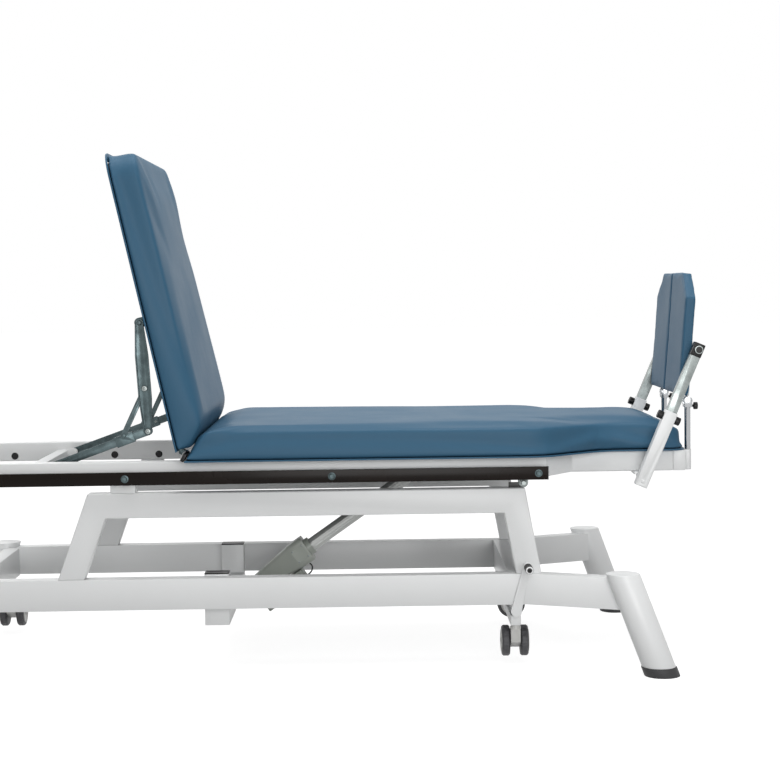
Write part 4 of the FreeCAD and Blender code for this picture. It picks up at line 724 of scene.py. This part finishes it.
# black ribbed grips over the pedal bars
grips = {"foot": (0.544, 0.248), "head": (-0.779, 0.248), "from": 0.330, "to": 0.376, "radius": 0.0098}
gripLong, gripRing = grips["to"] - grips["from"], grips["radius"]
gripOutline = [(gripRing * 0.9, 0), (gripRing, 0.001)]
for count in range(5):
    base = 0.006 + count * 0.0065
    gripOutline += [(gripRing, base), (gripRing * 0.94, base + 0.001), (gripRing * 0.94, base + 0.0022),
                    (gripRing, base + 0.0032)]
gripOutline += [(gripRing, gripLong - 0.003), (gripRing * 0.9, gripLong - 0.0008),
                (gripRing * 0.6, gripLong), (gripRing * 0.3, gripLong)]
for end in ("foot", "head"):
    x, z = grips[end]
    dressed(stamped(turned("grip", gripOutline, 28), [((x, -grips["from"], z), (0, -1, 0))],
                    "pedalGrip" + end.capitalize()), finishes["knob_black"], "pedal_" + end)

# light dished covers on the castor wheels and low caps over their stems
castors = {"head_near": (-0.835, -0.205, (0, 1, 0)), "head_far": (-0.806, 0.234, (1, 0, 0)),
           "foot_near": (0.517, -0.243, (1, 0, 0)), "foot_far": (0.546, 0.272, (0, 1, 0))}
wheel = {"axleZ": 0.055, "outer": 0.0325, "disc": 0.0288}
disc = wheel["disc"]
coverOutline = [(disc, -0.0012), (disc, 0.0006), (disc * 0.93, 0.0014), (disc * 0.84, 0.0004),
                (disc * 0.36, 0.0008), (disc * 0.30, 0.0024), (disc * 0.2, 0.0030), (disc * 0.14, 0.0018)]
for corner, (x, y, axis) in castors.items():
    spots = [((x + way * axis[0] * wheel["outer"], y + way * axis[1] * wheel["outer"], wheel["axleZ"]),
              (way * axis[0], way * axis[1], 0)) for way in bothWays]
    name = "wheelCovers" + "".join(word.capitalize() for word in corner.split("_"))
    dressed(stamped(turned("wheelCover", coverOutline, 40), spots, name), finishes["fork_grey"],
            "wheels_" + corner)

stems = {"head": (-0.806, 0.205), "foot": (0.517, 0.272), "top": 0.124}
for end in ("head", "foot"):
    x, y = stems[end]
    stemCap = turned("stemCap", [(0.0105, 0), (0.0105, 0.0022), (0.0085, 0.0036), (0.004, 0.0039)], 28)
    stemSpots = [((x, way * y, stems["top"]), upwards) for way in bothWays]
    dressed(stamped(stemCap, stemSpots, "stemCaps" + end.capitalize()), finishes["knob_black"],
            "castor_carriage_" + end)
print("grips and wheel covers made")

# black end caps and pin knobs on top of the footboard stays
stayTop = {"foot": (0.832, 0.243, 0.443), "along": Vector((0.390773, 0, 0.920487)), "reach": 0.3455,
           "size": (0.0272, 0.0272, 0.034), "below": 0.018, "knobRadius": 0.0106, "knobFrom": 0.0138,
           "knobTo": 0.0266}
knobLong, knobRing = stayTop["knobTo"] - stayTop["knobFrom"], stayTop["knobRadius"]
for side, way in (("near", -1), ("far", 1)):
    foot = Vector((stayTop["foot"][0], way * stayTop["foot"][1], stayTop["foot"][2]))
    middle = foot + stayTop["along"] * stayTop["reach"]
    cap = slab("stayCap" + side.capitalize(), stayTop["size"], 0.0008, 0.004, 0.0022)
    cap.rotation_euler = (0, math.atan2(stayTop["along"].x, stayTop["along"].z), 0)
    cap.location = middle - stayTop["along"] * stayTop["below"]
    dressed(smoothOver(settle(cap)), finishes["knob_black"], "foot_stay_inner_" + side)
    knob = turned("pinKnob", [(knobRing * 0.94, 0), (knobRing, 0.001), (knobRing, knobLong - 0.003),
                              (knobRing * 0.88, knobLong - 0.0008), (knobRing * 0.5, knobLong),
                              (knobRing * 0.2, knobLong - 0.0004)], 28)
    knobSpot = ((middle.x, way * (stayTop["foot"][1] + stayTop["knobFrom"]), middle.z), (0, way, 0))
    dressed(stamped(knob, [knobSpot], "stayPinKnob" + side.capitalize()), finishes["knob_black"],
            "foot_stay_inner_" + side)
print("stay caps made")


# Camera, floor and light

photoView = {"spot": (0.1893, -4.5068, 0.9380), "focalPixels": 1760.2, "widePixels": 780, "sensor": 36,
             "yaw": 0.412, "pitch": -3.573, "roll": -0.789}
cameraData = bpy.data.cameras.new("photoCamera")
camera = bpy.data.objects.new("photoCamera", cameraData)
scene.collection.objects.link(camera)
cameraData.sensor_fit, cameraData.sensor_width = "HORIZONTAL", photoView["sensor"]
cameraData.lens = photoView["focalPixels"] * photoView["sensor"] / photoView["widePixels"]
yaw, pitch, roll = (math.radians(photoView[word]) for word in ("yaw", "pitch", "roll"))
look = Vector((math.sin(yaw) * math.cos(pitch), math.cos(yaw) * math.cos(pitch), math.sin(pitch)))
level = look.cross(Vector((0, 0, 1))).normalized()
upright = level.cross(look)
right = level * math.cos(roll) + upright * math.sin(roll)
up = upright * math.cos(roll) - level * math.sin(roll)
turn = Matrix((right, up, -look)).transposed()
camera.location = photoView["spot"]
camera.rotation_euler = turn.to_euler()
scene.camera = camera

studio = {"ambient": 0.36, "key": 120.0, "front": 132.0, "rim": 30.0, "floorSize": 60.0,
          "floorGlow": 0.88}


def seenDirectly(tree):
    path = tree.nodes.new("ShaderNodeLightPath")
    first = mathNode(tree, "MAXIMUM", path.outputs["Is Camera Ray"], path.outputs["Is Glossy Ray"])
    return mathNode(tree, "MAXIMUM", first, path.outputs["Is Transmission Ray"])


world = bpy.data.worlds.new("paleStudio")
scene.world = world
world.use_nodes = True
sky = world.node_tree
sky.nodes.clear()
air = sky.nodes.new("ShaderNodeBackground")
air.inputs["Color"].default_value = (1, 1, 1, 1)
sky.links.new(spread(sky, seenDirectly(sky), 0.0, 1.0, studio["ambient"], 1.0), air.inputs["Strength"])
sky.links.new(air.outputs["Background"], sky.nodes.new("ShaderNodeOutputWorld").inputs["Surface"])

clearSelection()
bpy.ops.mesh.primitive_plane_add(size=studio["floorSize"], location=(0, 0, 0))
floor = bpy.context.object
floor.name = "studioFloor"
floorFinish = bpy.data.materials.new("paleFloor")
floorFinish.use_nodes = True
ground = floorFinish.node_tree
ground.nodes.clear()
plain = ground.nodes.new("ShaderNodeBsdfDiffuse")
plain.inputs["Color"].default_value = (0.36, 0.36, 0.36, 1)
glow = ground.nodes.new("ShaderNodeEmission")
glow.inputs["Color"].default_value = (1, 1, 1, 1)
glowing = mathNode(ground, "MULTIPLY", seenDirectly(ground), studio["floorGlow"])
ground.links.new(glowing, glow.inputs["Strength"])
bothFloor = ground.nodes.new("ShaderNodeAddShader")
ground.links.new(plain.outputs["BSDF"], bothFloor.inputs[0])
ground.links.new(glow.outputs["Emission"], bothFloor.inputs[1])
floorOut = ground.nodes.new("ShaderNodeOutputMaterial")
ground.links.new(bothFloor.outputs["Shader"], floorOut.inputs["Surface"])
floor.data.materials.append(floorFinish)


def softLamp(name, spot, aim, size, watts):
    lampData = bpy.data.lights.new(name, "AREA")
    lampData.shape, lampData.size, lampData.energy = "SQUARE", size, watts
    lamp = bpy.data.objects.new(name, lampData)
    scene.collection.objects.link(lamp)
    lamp.location = spot
    lamp.rotation_euler = (Vector(aim) - Vector(spot)).to_track_quat("-Z", "Y").to_euler()
    lamp.visible_camera = False
    return lamp


softLamp("overheadLamp", (0.2, -0.6, 4.2), (0, 0, 0.5), 3.5, studio["key"])
softLamp("frontLamp", (1.2, -5.4, 1.1), (0, 0, 0.45), 3.0, studio["front"])
softLamp("backLamp", (-2.5, 3.5, 2.5), (0, 0, 0.6), 2.0, studio["rim"])
print("camera and light set")
